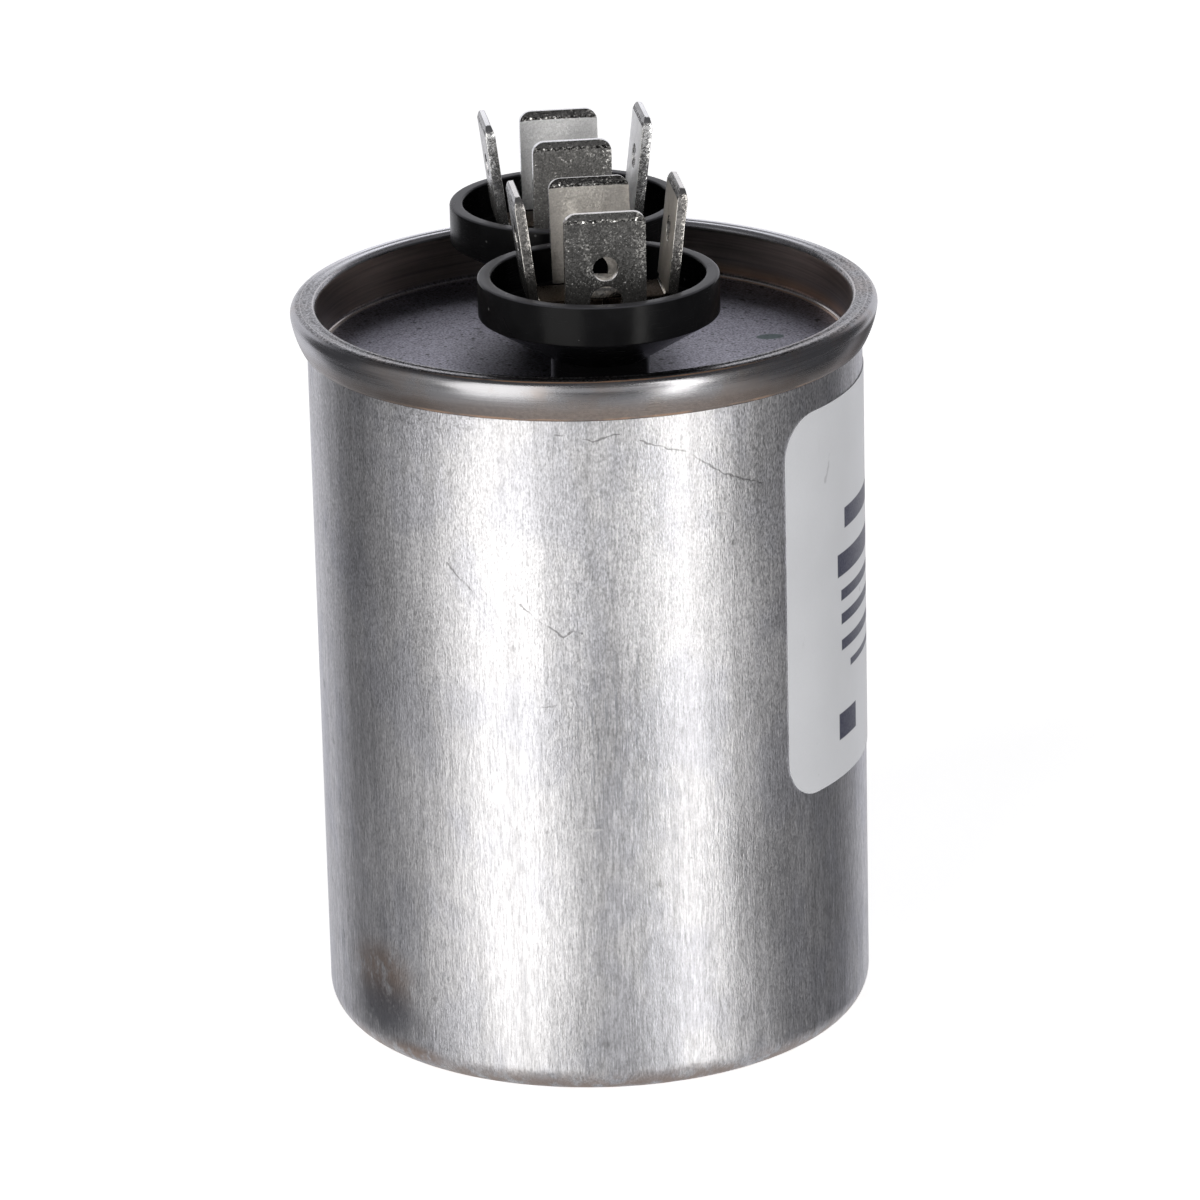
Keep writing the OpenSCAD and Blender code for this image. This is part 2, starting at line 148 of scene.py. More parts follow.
class Bench:
    """Modelling steps, each done with the operators a person would use."""

    @staticmethod
    def clear() -> None:
        """Leaves nothing selected."""
        if bpy.context.object and bpy.context.object.mode != "OBJECT":
            bpy.ops.object.mode_set(mode="OBJECT")
        bpy.ops.object.select_all(action="DESELECT")

    @staticmethod
    def start(name: str) -> bpy.types.Object:
        """Adds a unit plane at the origin and opens it in edit mode.

        Args:
            name: name of the new piece.

        Returns:
            The new object, active and selected.
        """
        Bench.clear()
        bpy.ops.mesh.primitive_plane_add(size=1.0, location=(0, 0, 0))
        piece = bpy.context.object
        piece.name = name
        piece.data.name = name
        bpy.ops.object.mode_set(mode="EDIT")
        return piece

    @staticmethod
    def only(piece: bpy.types.Object) -> None:
        """Makes one piece the selected and active one."""
        Bench.clear()
        piece.select_set(True)
        bpy.context.view_layer.objects.active = piece

    @staticmethod
    def pick(piece: bpy.types.Object, wanted: Callable[[Vector], bool]) -> None:
        """Selects the vertices that a test accepts, in edit mode.

        Args:
            piece: the piece being edited.
            wanted: test of a vertex's place in millimetres.
        """
        bpy.ops.mesh.select_mode(type="VERT")
        bpy.ops.mesh.select_all(action="DESELECT")
        bpy.ops.object.mode_set(mode="OBJECT")
        for vertex in piece.data.vertices:
            vertex.select = bool(wanted(vertex.co / MM))
        bpy.ops.object.mode_set(mode="EDIT")

    @staticmethod
    def move(x: float = 0.0, y: float = 0.0, z: float = 0.0) -> None:
        """Moves what is selected by millimetres."""
        bpy.ops.transform.translate(value=(x * MM, y * MM, z * MM))

    @staticmethod
    def extrude(x: float = 0.0, y: float = 0.0, z: float = 0.0) -> None:
        """Extrudes what is selected by millimetres."""
        bpy.ops.mesh.extrude_region_move(TRANSFORM_OT_translate={"value": (x * MM, y * MM, z * MM)})

    @staticmethod
    def turn(angle: float, axis: str, centre: Vector) -> None:
        """Turns what is selected by the right-hand rule.

        Args:
            angle: angle in degrees.
            axis: X, Y or Z.
            centre: fixed point in millimetres.
        """
        bpy.ops.transform.rotate(
            value=-math.radians(angle), orient_axis=axis, orient_type="GLOBAL", center_override=centre * MM
        )

    @staticmethod
    def tidy(angle: float) -> None:
        """Merges the mesh, turns its normals outwards and smooths it up to an angle in degrees."""
        bpy.ops.mesh.select_all(action="SELECT")
        bpy.ops.mesh.remove_doubles(threshold=MERGE * MM)
        bpy.ops.mesh.normals_make_consistent(inside=False)
        bpy.ops.object.mode_set(mode="OBJECT")
        bpy.ops.object.shade_smooth_by_angle(angle=math.radians(angle))

    @staticmethod
    def apply(piece: bpy.types.Object, kind: str, **settings: object) -> None:
        """Adds a modifier and applies it at once.

        Args:
            piece: the piece it works on.
            kind: the modifier's type.
            **settings: values set on the modifier.
        """
        Bench.only(piece)
        modifier = piece.modifiers.new(kind.lower(), kind)
        for key, value in settings.items():
            setattr(modifier, key, value)
        bpy.ops.object.modifier_apply(modifier=modifier.name)

    @staticmethod
    def copy(piece: bpy.types.Object, name: str) -> bpy.types.Object:
        """Copies a piece with a mesh of its own."""
        Bench.only(piece)
        bpy.ops.object.duplicate(linked=False)
        twin = bpy.context.object
        twin.name = name
        twin.data.name = name
        return twin

    @staticmethod
    def lathe(name: str, profile: Profile, steps: int, y: float = 0.0) -> bpy.types.Object:
        """Turns a half section round an upright axis.

        Args:
            name: name of the new piece.
            profile: half section to turn.
            steps: number of facets round the axis.
            y: place of the axis on Y in millimetres.

        Returns:
            The finished piece.
        """
        piece = Bench.start(name)
        bpy.ops.mesh.merge(type="CENTER")
        (r0, z0), *rest = profile.points
        Bench.move(r0, y, z0)
        for r, z in rest:
            Bench.extrude(r - r0, 0.0, z - z0)
            r0, z0 = r, z
        bpy.ops.mesh.select_all(action="SELECT")
        bpy.ops.mesh.spin(steps=steps, angle=FULL_TURN, center=(0, y * MM, 0), axis=(0, 0, 1))
        Bench.tidy(SMOOTH)
        return piece


@dataclass(frozen=True)
class Pattern:
    """Noise of so many cells per millimetre, across and along the upright axis.

    Its rise gives the values at which a mask of it starts and is full.
    """

    across: float
    along: float
    detail: float = 2.0
    rough: float = 0.5
    rise: Span = (0.0, 1.0)


@dataclass(frozen=True)
class Dots:
    """Scattered dots, one at most in each of so many cells per millimetre.

    Size is the largest radius as a share of a cell, and share is the part of the cells with a dot.
    """

    per_mm: float
    size: float
    share: float
    weight: float = 1.0


class Graph:
    """Writes a material's nodes as short calls, on object coordinates in millimetres."""

    FAINT = Pattern(0.8, 0.8, rise=(0.34, 0.56))
    WANDER_CELLS = 1.3
    WANDER = (0.6, 0.5, 0.0)
    MIDDLE = (0.5, 0.5, 0.5)
    DOT_CORE = 0.45
    LINE_CORE = 0.3
    SPOT_FADE = (1.0, 0.2)

    def __init__(self, name: str) -> None:
        """Starts a material with a principled shader."""
        self.material = bpy.data.materials.new(name)
        self.material.use_nodes = True
        self.tree = self.material.node_tree
        self.tree.nodes.clear()
        self.shader = self.add("ShaderNodeBsdfPrincipled")
        surface = self.add("ShaderNodeOutputMaterial").inputs["Surface"]
        self.tree.links.new(self.shader.outputs["BSDF"], surface)
        coordinates = self.add("ShaderNodeTexCoord").outputs["Object"]
        self.point = self.stretch(coordinates, 1 / MM, 1 / MM, 1 / MM)
        split = self.add("ShaderNodeSeparateXYZ")
        self.tree.links.new(self.point, split.inputs[0])
        self.x, self.y, self.z = split.outputs

    def add(self, kind: str) -> bpy.types.Node:
        """Adds a node."""
        return self.tree.nodes.new(kind)

    def plug(self, value: Amount | Colour, socket: Socket) -> None:
        """Links a socket to another, or sets its value."""
        if isinstance(value, bpy.types.NodeSocket):
            self.tree.links.new(value, socket)
        elif isinstance(value, tuple) and socket.type == "RGBA":
            socket.default_value = (*value, 1.0)
        else:
            socket.default_value = value

    def set(self, **values: Amount | Colour) -> None:
        """Sets shader inputs, with underscores for the spaces in their names."""
        for key, value in values.items():
            self.plug(value, self.shader.inputs[key.replace("_", " ").title().replace("Ior", "IOR")])

    def math(self, operation: str, *values: Amount, clamp: bool = False) -> Socket:
        """Adds a math node on up to three values."""
        node = self.add("ShaderNodeMath")
        node.operation = operation
        node.use_clamp = clamp
        for value, socket in zip(values, node.inputs):
            self.plug(value, socket)
        return node.outputs[0]

    def chain(self, operation: str, values: tuple[Amount, ...]) -> Amount:
        """Joins values with one math operation, from the first to the last."""
        total = values[0]
        for value in values[1:]:
            total = self.math(operation, total, value)
        return total

    def times(self, *values: Amount) -> Amount:
        """Product of values."""
        return self.chain("MULTIPLY", values)

    def plus(self, *values: Amount) -> Amount:
        """Sum of values."""
        return self.chain("ADD", values)

    def most(self, *values: Amount) -> Amount:
        """Largest of values."""
        return self.chain("MAXIMUM", values)

    def lack(self, share: Amount) -> Socket:
        """What a share lacks to one."""
        return self.math("SUBTRACT", 1.0, share)

    def stretch(self, vector: Socket, x: float, y: float, z: float) -> Socket:
        """Scales a vector by its axes."""
        node = self.add("ShaderNodeVectorMath")
        node.operation = "MULTIPLY"
        self.plug(vector, node.inputs[0])
        node.inputs[1].default_value = (x, y, z)
        return node.outputs[0]

    def noise(self, pattern: Pattern) -> Socket:
        """Noise in a pattern's cells."""
        node = self.add("ShaderNodeTexNoise")
        cells = self.stretch(self.point, pattern.across, pattern.across, pattern.along)
        self.plug(cells, node.inputs["Vector"])
        node.inputs["Scale"].default_value = 1.0
        node.inputs["Detail"].default_value = pattern.detail
        node.inputs["Roughness"].default_value = pattern.rough
        return node.outputs[0]

    def ring_noise(self, pattern: Pattern) -> Socket:
        """Noise in streaks that run round the upright axis, fine across and slow along."""
        node = self.add("ShaderNodeTexNoise")
        node.noise_dimensions = "4D"
        radius = self.radius()
        vector = self.add("ShaderNodeCombineXYZ")
        for part, socket in zip((self.x, self.y), vector.inputs):
            self.plug(self.times(self.math("DIVIDE", part, radius), pattern.along), socket)
        self.plug(self.times(self.z, pattern.across), vector.inputs[2])
        self.plug(vector.outputs[0], node.inputs["Vector"])
        self.plug(self.times(radius, pattern.across), node.inputs["W"])
        node.inputs["Scale"].default_value = 1.0
        node.inputs["Detail"].default_value = pattern.detail
        node.inputs["Roughness"].default_value = pattern.rough
        return node.outputs[0]

    def blots(self, pattern: Pattern) -> Socket:
        """Mask of where a noise passes its pattern's rise."""
        return self.step(self.noise(pattern), *pattern.rise)

    def specks(self, dots: Dots) -> Socket:
        """Mask of scattered dots, from 0 to their weight."""
        node = self.add("ShaderNodeTexVoronoi")
        self.plug(self.point, node.inputs["Vector"])
        node.inputs["Scale"].default_value = dots.per_mm
        split = self.add("ShaderNodeSeparateColor")
        self.plug(node.outputs["Color"], split.inputs[0])
        chosen = self.math("LESS_THAN", split.outputs[0], dots.share)
        grown = self.times(split.outputs[1], dots.size)
        core = self.times(grown, self.DOT_CORE)
        return self.times(chosen, self.step(node.outputs["Distance"], grown, core), dots.weight)

    def step(self, value: Amount, low: Amount, high: Amount) -> Socket:
        """Smooth step from 0 at low to 1 at high."""
        node = self.add("ShaderNodeMapRange")
        node.interpolation_type = "SMOOTHSTEP"
        for source, name in ((value, "Value"), (low, "From Min"), (high, "From Max")):
            self.plug(source, node.inputs[name])
        return node.outputs[0]

    def fit(self, value: Amount, low: float, high: float, start: float = 0.25, end: float = 0.75) -> Socket:
        """Linear map of a noise's useful span to a new range."""
        node = self.add("ShaderNodeMapRange")
        ends = {"Value": value, "From Min": start, "From Max": end, "To Min": low, "To Max": high}
        for name, source in ends.items():
            self.plug(source, node.inputs[name])
        return node.outputs[0]

    def ramp(self, mask: Amount, low: float, high: float) -> Socket:
        """Linear map of a mask between 0 and 1 to a new range."""
        return self.fit(mask, low, high, 0.0, 1.0)

    def mix(self, share: Amount, a: Amount | Colour, b: Amount | Colour, blend: str = "MIX") -> Socket:
        """Mixes two colours."""
        node = self.add("ShaderNodeMix")
        node.data_type = "RGBA"
        node.blend_type = blend
        node.clamp_factor = True
        self.plug(share, node.inputs[0])
        for value, socket in ((a, node.inputs[6]), (b, node.inputs[7])):
            self.plug(value, socket)
        return node.outputs[2]

    def shade(self, colour: Amount | Colour, gain: Amount) -> Socket:
        """Multiplies a colour by a grey value."""
        grey = self.add("ShaderNodeCombineColor")
        for socket in grey.inputs[:3]:
            self.plug(gain, socket)
        return self.mix(1.0, colour, grey.outputs[0], "MULTIPLY")

    def radius(self) -> Socket:
        """Distance from the can's axis."""
        squares = (self.math("POWER", part, 2.0) for part in (self.x, self.y))
        return self.math("SQRT", self.plus(*squares))

    def polar(self) -> Socket:
        """Angle round the can's axis in degrees, with its jump at the back."""
        turned = self.math("ARCTAN2", self.x, self.times(self.y, -1.0))
        return self.math("SUBTRACT", self.times(turned, math.degrees(1.0)), 90.0)

    def vector(self, operation: str, a: Socket | Colour, b: Socket | Colour, output: int = 0) -> Socket:
        """Adds a vector math node on two vectors."""
        node = self.add("ShaderNodeVectorMath")
        node.operation = operation
        self.plug(a, node.inputs[0])
        self.plug(b, node.inputs[1])
        return node.outputs[output]

    def unrolled(self, radius: float) -> Socket:
        """Place on a round wall laid flat: millimetres round it, then height."""
        flat = self.add("ShaderNodeCombineXYZ")
        self.plug(self.times(self.polar(), math.radians(radius)), flat.inputs[0])
        self.plug(self.z, flat.inputs[1])
        return flat.outputs[0]

    def stroke(self, flat: Socket, radius: float, marks: Marks, width: float) -> Socket:
        """Mask of thin scratches on a round wall.

        Args:
            flat: place on the wall laid flat.
            radius: the wall's radius.
            marks: scratches, each a few points given as degrees round the axis and height.
            width: half width of a scratch.

        Returns:
            Mask from 0 to 1.
        """
        nearest: Amount = 100.0
        wander = self.add("ShaderNodeTexNoise")
        wander.inputs["Scale"].default_value = self.WANDER_CELLS
        self.plug(flat, wander.inputs["Vector"])
        off = self.vector("SUBTRACT", wander.outputs["Color"], self.MIDDLE)
        flat = self.vector("ADD", flat, self.vector("MULTIPLY", off, self.WANDER))
        for mark in marks:
            points = [Vector((math.radians(turn) * radius, z, 0.0)) for turn, z in mark]
            for start, end in zip(points, points[1:]):
                run = end - start
                offset = self.vector("SUBTRACT", flat, tuple(start))
                share = self.vector("DOT_PRODUCT", offset, tuple(run / run.length_squared), 1)
                foot = self.add("ShaderNodeVectorMath")
                foot.operation = "SCALE"
                foot.inputs[0].default_value = run
                self.plug(self.math("ADD", share, 0.0, clamp=True), foot.inputs["Scale"])
                nearest = self.math("MINIMUM", nearest, self.vector("DISTANCE", offset, foot.outputs[0], 1))
        return self.times(self.blots(self.FAINT), self.step(nearest, width, width * self.LINE_CORE))

    def spot(self, flat: Socket, place: Span, size: Span) -> Socket:
        """Soft round mask on a flat place, given its middle and half sizes in millimetres."""
        offset = self.vector("SUBTRACT", flat, (*place, 0.0))
        scaled = self.vector("MULTIPLY", offset, (1 / size[0], 1 / size[1], 0.0))
        return self.step(self.vector("LENGTH", scaled, (0.0, 0.0, 0.0), 1), *self.SPOT_FADE)

    def facets(self, per_mm: float, tilt: float) -> Socket:
        """Surface normal broken into crystals, each turned its own way.

        Args:
            per_mm: crystals per millimetre.
            tilt: largest sideways part of the turned normal.

        Returns:
            The normal.
        """
        cells = self.add("ShaderNodeTexVoronoi")
        self.plug(self.point, cells.inputs["Vector"])
        cells.inputs["Scale"].default_value = per_mm
        off = self.vector("SUBTRACT", cells.outputs["Color"], self.MIDDLE)
        upright = self.add("ShaderNodeNewGeometry").outputs["Normal"]
        leant = self.vector("ADD", upright, self.vector("MULTIPLY", off, (2 * tilt, 2 * tilt, 2 * tilt)))
        return self.vector("NORMALIZE", leant, (0.0, 0.0, 0.0))

    def bump(self, height: Socket, depth: float, below: Socket | None = None) -> Socket:
        """Bump of a height between 0 and 1, so many millimetres deep."""
        node = self.add("ShaderNodeBump")
        node.inputs["Distance"].default_value = depth * MM
        self.plug(height, node.inputs["Height"])
        if below is not None:
            self.plug(below, node.inputs["Normal"])
        return node.outputs[0]


@dataclass(frozen=True)
class Patch:
    """Soft round mark on a round wall, by degrees round the axis, height and half sizes."""

    turn: float
    z: float
    half: Span
    weight: float = 1.0

    def mask(self, g: Graph, flat: Socket, radius: float) -> Socket:
        """Mask of the mark.

        Args:
            g: graph to draw in.
            flat: place on the wall laid flat.
            radius: the wall's radius.

        Returns:
            Mask from 0 to the mark's weight.
        """
        middle = (math.radians(self.turn) * radius, self.z)
        return g.times(g.spot(flat, middle, self.half), self.weight)


@dataclass(frozen=True)
class Ring:
    """Thin ring round the can's axis, by its radius and half width."""

    radius: float
    half: float
    weight: float = 1.0

    def mask(self, g: Graph) -> Socket:
        """Mask of the ring, from 0 to its weight."""
        off = g.math("ABSOLUTE", g.math("SUBTRACT", g.radius(), self.radius))
        return g.times(g.step(off, self.half, self.half * g.LINE_CORE), self.weight)


@dataclass(frozen=True)
class DrawnAluminium:
    """Bare drawn aluminium: a sparkling grain, short axial draw lines, stains and handling marks."""

    tone: Colour = (0.77, 0.765, 0.785)
    tinge: Colour = (0.70, 0.70, 0.737)
    score: Colour = (0.36, 0.375, 0.42)
    stain: Colour = (0.42, 0.31, 0.25)
    bruise: Colour = (0.21, 0.21, 0.24)
    soot: Colour = (0.12, 0.115, 0.115)
    scraped: Colour = (0.93, 0.93, 0.94)
    roughness: float = 0.43
    depth: float = 0.024
    radius: float = WALL_R
    grain: Pattern = Pattern(7.5, 3.4, 1.0, 0.6)
    lines: Pattern = Pattern(7.5, 0.8, 1.0, 0.6)
    cloud: Pattern = Pattern(0.11, 0.07, 3.0)
    drag: Pattern = Pattern(0.75, 0.035, rise=(0.4, 0.56))
    scores: Pattern = Pattern(6.5, 0.26, 2.0, 0.6, (0.48, 0.34))
    tinges: Pattern = Pattern(0.16, 0.1, 3.0, 0.6, (0.46, 0.6))
    mottle: Pattern = Pattern(0.7, 0.5, 4.0, 0.65)
    pits: Pattern = Pattern(1.6, 2.4, 4.0, 0.7, (0.52, 0.6))
    specks: Dots = Dots(0.45, 0.22, 0.3, 0.5)
    sparkle: float = 0.31
    drawn: float = 0.26
    low_z: Span = (46.0, 24.0)
    low_scores: float = 0.2
    rubbed: Patch = Patch(-92.5, 31.0, (5.6, 11.0), 0.42)
    # Painted shade at the top and foot of the left highlight, where the softbox's light falls off.
    top_painted_shade: Patch = Patch(-122.0, 58.0, (19.0, 15.0), 0.12)
    foot_painted_shade: Patch = Patch(-106.0, 0.0, (17.0, 14.0), 0.14)
    strip_left: Span = (-161.0, -157.5)
    strip_right: Span = (-138.0, -150.0)
    strip_z: Span = (14.0, 40.0)
    strip_share: float = 0.17
    wall_stain: Patch = Patch(-149.0, 7.4, (5.2, 4.0))
    foot_stain: Patch = Patch(-140.0, 1.6, (5.0, 1.3))
    stain_blots: Span = (0.3, 0.52)
    corner_z: Span = (2.6, 0.4)
    corner_blots: Span = (0.34, 0.6)
    stain_share: float = 0.8
    bruised: Patch = Patch(-148.0, 4.6, (6.0, 3.6), 0.8)
    bruise_blots: Span = (0.28, 0.5)
    under_rim: Patch = Patch(-130.0, 56.2, (9.5, 2.2), 0.7)
    mark_share: float = 0.6
    dark_half: float = 0.1
    dark_marks: Marks = (
        ((-103, 55.5), (-101, 55.5)),
        ((-98, 55.2), (-95.5, 55.0), (-93, 55.3), (-90, 55.4)),
        ((-86, 54.8), (-76, 53.5), (-68, 51.2), (-59, 49.8)),
        ((-127, 44.4), (-124.5, 43.5), (-120.5, 42.2), (-119.5, 42.4)),
        ((-111, 41.6), (-108, 40.5), (-102, 39.0), (-100, 39.6), (-98.5, 39.3)),
        ((-107, 33.2), (-104, 33.3)),
        ((-171, 12.4), (-169.6, 11.4)),
        ((-166, 9.2), (-165, 8.5)),
    )
    light_half: float = 0.13
    light_marks: Marks = (((-102, 22.9), (-92.5, 22.8)), ((-124, 19.0), (-120, 20.5)))

    def material(self) -> bpy.types.Material:
        """Builds the material."""
        g = Graph("drawn_aluminium")
        flat = g.unrolled(self.radius)
        grain, lines, cloud = (g.noise(pattern) for pattern in (self.grain, self.lines, self.cloud))
        low = g.step(g.z, *self.low_z)
        sparkle = g.times(g.fit(grain, -self.sparkle, self.sparkle), g.ramp(low, 1.0, 0.55))
        drawn = g.times(g.fit(lines, -self.drawn, self.drawn), g.ramp(low, 0.65, 1.0))
        gain = g.times(g.plus(sparkle, drawn, g.fit(cloud, 0.95, 1.06)), self.dimming(g, flat))
        colour = g.shade(g.mix(g.blots(self.tinges), self.tone, self.tinge), gain)
        rubbed = g.plus(self.rubbed.mask(g, flat, self.radius), g.times(low, self.low_scores))
        colour = g.mix(g.times(g.blots(self.scores), rubbed), colour, self.score)
        colour = self.marked(g, flat, self.stained(g, flat, colour))
        rough = g.fit(cloud, self.roughness - 0.04, self.roughness + 0.04)
        rough = g.plus(rough, g.fit(grain, -0.05, 0.05))
        height = g.plus(g.times(grain, 0.7), g.times(lines, 0.3))
        g.set(base_color=colour, metallic=1.0, roughness=rough, normal=g.bump(height, self.depth))
        return g.material

    def dimming(self, g: Graph, flat: Socket) -> Socket:
        """Dulls the metal in slow axial drags, paints shade at the top and foot of the left highlight and
        darkens a strip on the left.

        Args:
            g: graph to draw in.
            flat: place on the wall laid flat.

        Returns:
            Value to multiply the brightness by.
        """
        drag = g.ramp(g.blots(self.drag), 0.91, 1.03)
        # Painted shade at both ends of the left highlight.
        painted_shade = g.most(*(patch.mask(g, flat, self.radius) for patch in (self.top_painted_shade, self.foot_painted_shade)))
        sides = (g.step(g.polar(), *side) for side in (self.strip_left, self.strip_right))
        strip = g.times(*sides, g.step(g.z, *self.strip_z), self.strip_share)
        return g.times(drag, g.lack(painted_shade), g.lack(strip))

    def stained(self, g: Graph, flat: Socket, colour: Socket) -> Socket:
        """Adds the brown stains and the bruise low on the left, and the tarnish on the bottom corner.

        Args:
            g: graph to draw in.
            flat: place on the wall laid flat.
            colour: colour below.

        Returns:
            The new colour.
        """
        mottle = g.noise(self.mottle)
        corner = g.times(g.step(g.z, *self.corner_z), g.step(mottle, *self.corner_blots))
        stains = g.most(*(patch.mask(g, flat, self.radius) for patch in (self.wall_stain, self.foot_stain)))
        brown = g.most(g.times(stains, g.step(mottle, *self.stain_blots)), corner)
        bruised = g.times(self.bruised.mask(g, flat, self.radius), g.step(mottle, *self.bruise_blots))
        return g.mix(bruised, g.mix(g.times(brown, self.stain_share), colour, self.stain), self.bruise)

    def marked(self, g: Graph, flat: Socket, colour: Socket) -> Socket:
        """Adds the dark and light scratches, the pits under the rim and a few specks.

        Args:
            g: graph to draw in.
            flat: place on the wall laid flat.
            colour: colour below.

        Returns:
            The new colour.
        """
        pits = g.times(self.under_rim.mask(g, flat, self.radius), g.blots(self.pits))
        dark = g.stroke(flat, self.radius, self.dark_marks, self.dark_half)
        light = g.stroke(flat, self.radius, self.light_marks, self.light_half)
        dark = g.most(dark, pits, g.specks(self.specks))
        colour = g.mix(g.times(dark, self.mark_share), colour, self.soot)
        return g.mix(g.times(light, self.mark_share), colour, self.scraped)


@dataclass(frozen=True)
class CoverNoise:
    """Noises that the cover's colours share."""

    cloud: Socket
    grain: Socket
    speckle: Socket
    streak: Socket


@dataclass(frozen=True)
class CoverSteel:
    """Dark plated steel: a slate panel, a brown inner wall and a rolled rim with a worn crest."""

    panel: Colour = (0.27, 0.262, 0.315)
    oil: Colour = (0.04, 0.08, 0.08)
    dot: Colour = (0.01, 0.01, 0.012)
    wall: Colour = (0.46, 0.41, 0.39)
    painted_gleam: Colour = (0.95, 0.87, 0.8)
    rim: Colour = (0.44, 0.437, 0.455)
    brown: Colour = (0.42, 0.35, 0.31)
    # Colour of the painted reflection of the backdrop on the crown's far side.
    bright: Colour = (0.93, 0.935, 0.97)
    # Colour of the painted highlight rings on the crown.
    line: Colour = (0.7, 0.68, 0.68)
    # Colour of the painted shade on the rim's sides and far right end.
    shade: Colour = (0.13, 0.105, 0.095)
    # Colour of the painted shadow in the seam under the rim.
    edge: Colour = (0.085, 0.05, 0.036)
    # Copper colour of the worn crest and the rust line, also used for the painted glow on the inner wall.
    worn: Colour = (0.86, 0.56, 0.38)
    grazing: Colour = (0.25, 0.25, 0.25)
    depth: float = 0.005
    cloud: Pattern = Pattern(0.2, 0.2, 4.0, 0.6)
    grain: Pattern = Pattern(3.5, 3.5, 3.0, 0.6)
    speckle: Pattern = Pattern(6.0, 6.0, 1.0)
    streak: Pattern = Pattern(7.0, 3.0, 3.0)
    rust: Pattern = Pattern(2.0, 7.0, 3.0, rise=(0.4, 0.6))
    wear: Pattern = Pattern(2.0, 5.0, 3.0, rise=(0.34, 0.5))
    dots: tuple[Dots, ...] = (Dots(1.0, 0.36, 0.5, 0.9), Dots(2.4, 0.46, 0.5, 0.9))
    smudge_at: Span = (14.9, -0.8)
    smudge_half: Span = (1.4, 0.85)
    smudge_share: float = 0.96
    wall_z: Span = (PANEL_Z + 0.1, PANEL_Z + 0.5)
    top_z: Span = (59.4, 59.9)
    top_in: float = 0.6
    rim_r: Span = (21.8, 22.1)
    # Painted highlight on the corner between the panel and the wall.
    fillet: Ring = Ring(21.12, 0.24)
    fillet_z: Span = (56.3, 56.1)
    fillet_left: Span = (-245.0, -205.0)
    fillet_right: Span = (86.0, 66.0)
    # Painted warm glow low on the inner wall's right side.
    glow_z: Span = (57.5, 56.3)
    glow_start: Span = (-25.0, 5.0)
    glow_end: Span = (86.0, 60.0)
    painted_glow_share: float = 0.6
    crown_r: Span = (23.18, 22.98)
    far_y: Span = (5.0, 17.0)
    lines: tuple[Ring, ...] = (Ring(21.66, 0.08, 0.7), Ring(22.7, 0.07, 0.35))
    front: float = -93.0
    dull_z: Span = (58.9, 57.3)
    dull_aside: Span = (48.0, 12.0)
    rust_z: Span = (57.08, 56.92)
    rust_aside: Span = (62.0, 22.0)
    rust_share: float = 0.7
    edge_z: Span = (56.86, 56.76)
    right_start: Span = (-48.0, -22.0)
    right_stop: Span = (75.0, 35.0)
    right_z: Span = (59.5, 58.9)
    right_share: float = 0.7
    crest: Ring = Ring(23.06, 0.1)
    crest_aside: Span = (42.0, 15.0)

    def material(self) -> bpy.types.Material:
        """Builds the material."""
        g = Graph("cover_steel")
        patterns = (self.cloud, self.grain, self.speckle)
        noise = CoverNoise(*(g.noise(pattern) for pattern in patterns), g.ring_noise(self.streak))
        on_wall = g.step(g.z, *self.wall_z)
        on_top = g.step(g.z, *self.top_z)
        on_rim = g.step(g.plus(g.radius(), g.times(on_top, self.top_in)), *self.rim_r)
        # Painted shade over the rim's far right end, whose grazing reflection the specular tint dims too.
        right = g.times(g.step(g.polar(), *self.right_start), g.step(g.polar(), *self.right_stop))
        right = g.times(right, g.step(g.z, *self.right_z))
        worn = g.times(self.crest.mask(g), on_top, g.step(self.aside(g), *self.crest_aside))
        worn = g.times(worn, g.step(g.ring_noise(self.wear), *self.wear.rise))
        rim = self.shaded_and_rusted(g, noise, self.rolled(g, noise, on_top))
        rim = g.mix(worn, g.mix(g.times(right, self.right_share), rim, self.shade), self.worn)
        sunk = g.mix(on_wall, self.flat_panel(g, noise), self.inner_wall(g, noise))
        # Painted highlight on the corner between the panel and the wall.
        fillet = self.fillet_mask(g)
        colour = g.mix(g.times(fillet, 0.9), g.mix(on_rim, sunk, rim), self.painted_gleam)
        rough = g.plus(g.fit(noise.cloud, 0.22, 0.3), g.fit(noise.streak, -0.03, 0.04))
        rough = g.plus(rough, g.times(g.lack(on_rim), 0.08), g.times(worn, 0.25), g.times(fillet, -0.15))
        height = g.plus(g.times(noise.grain, 0.5), g.times(noise.streak, on_wall, 0.4))
        tint = g.mix(g.times(right, on_rim), (1.0, 1.0, 1.0), self.grazing)
        normal = g.bump(height, self.depth)
        g.set(base_color=colour, metallic=1.0, roughness=rough, specular_tint=tint, normal=normal)
        return g.material

    def aside(self, g: Graph) -> Socket:
        """Degrees away from the rim's front."""
        return g.math("ABSOLUTE", g.math("SUBTRACT", g.polar(), self.front))

    def flat_panel(self, g: Graph, noise: CoverNoise) -> Socket:
        """Colour of the sunk panel, with its dark dots and the oily smudge on its right side."""
        gain = g.times(g.fit(noise.cloud, 0.85, 1.18), g.fit(noise.speckle, 0.3, 1.7))
        spot = g.spot(g.point, self.smudge_at, self.smudge_half)
        smudge = g.times(g.step(spot, 0.05, 0.25), self.smudge_share)
        dots = g.most(*(g.specks(dots) for dots in self.dots))
        return g.mix(dots, g.mix(smudge, g.shade(self.panel, gain), self.oil), self.dot)

    def fillet_mask(self, g: Graph) -> Socket:
        """Mask of the painted highlight on the corner between the panel and the wall, faint at the back."""
        clear = g.times(g.step(g.polar(), *self.fillet_left), g.step(g.polar(), *self.fillet_right))
        return g.times(self.fillet.mask(g), g.step(g.z, *self.fillet_z), g.ramp(clear, 0.25, 1.0))

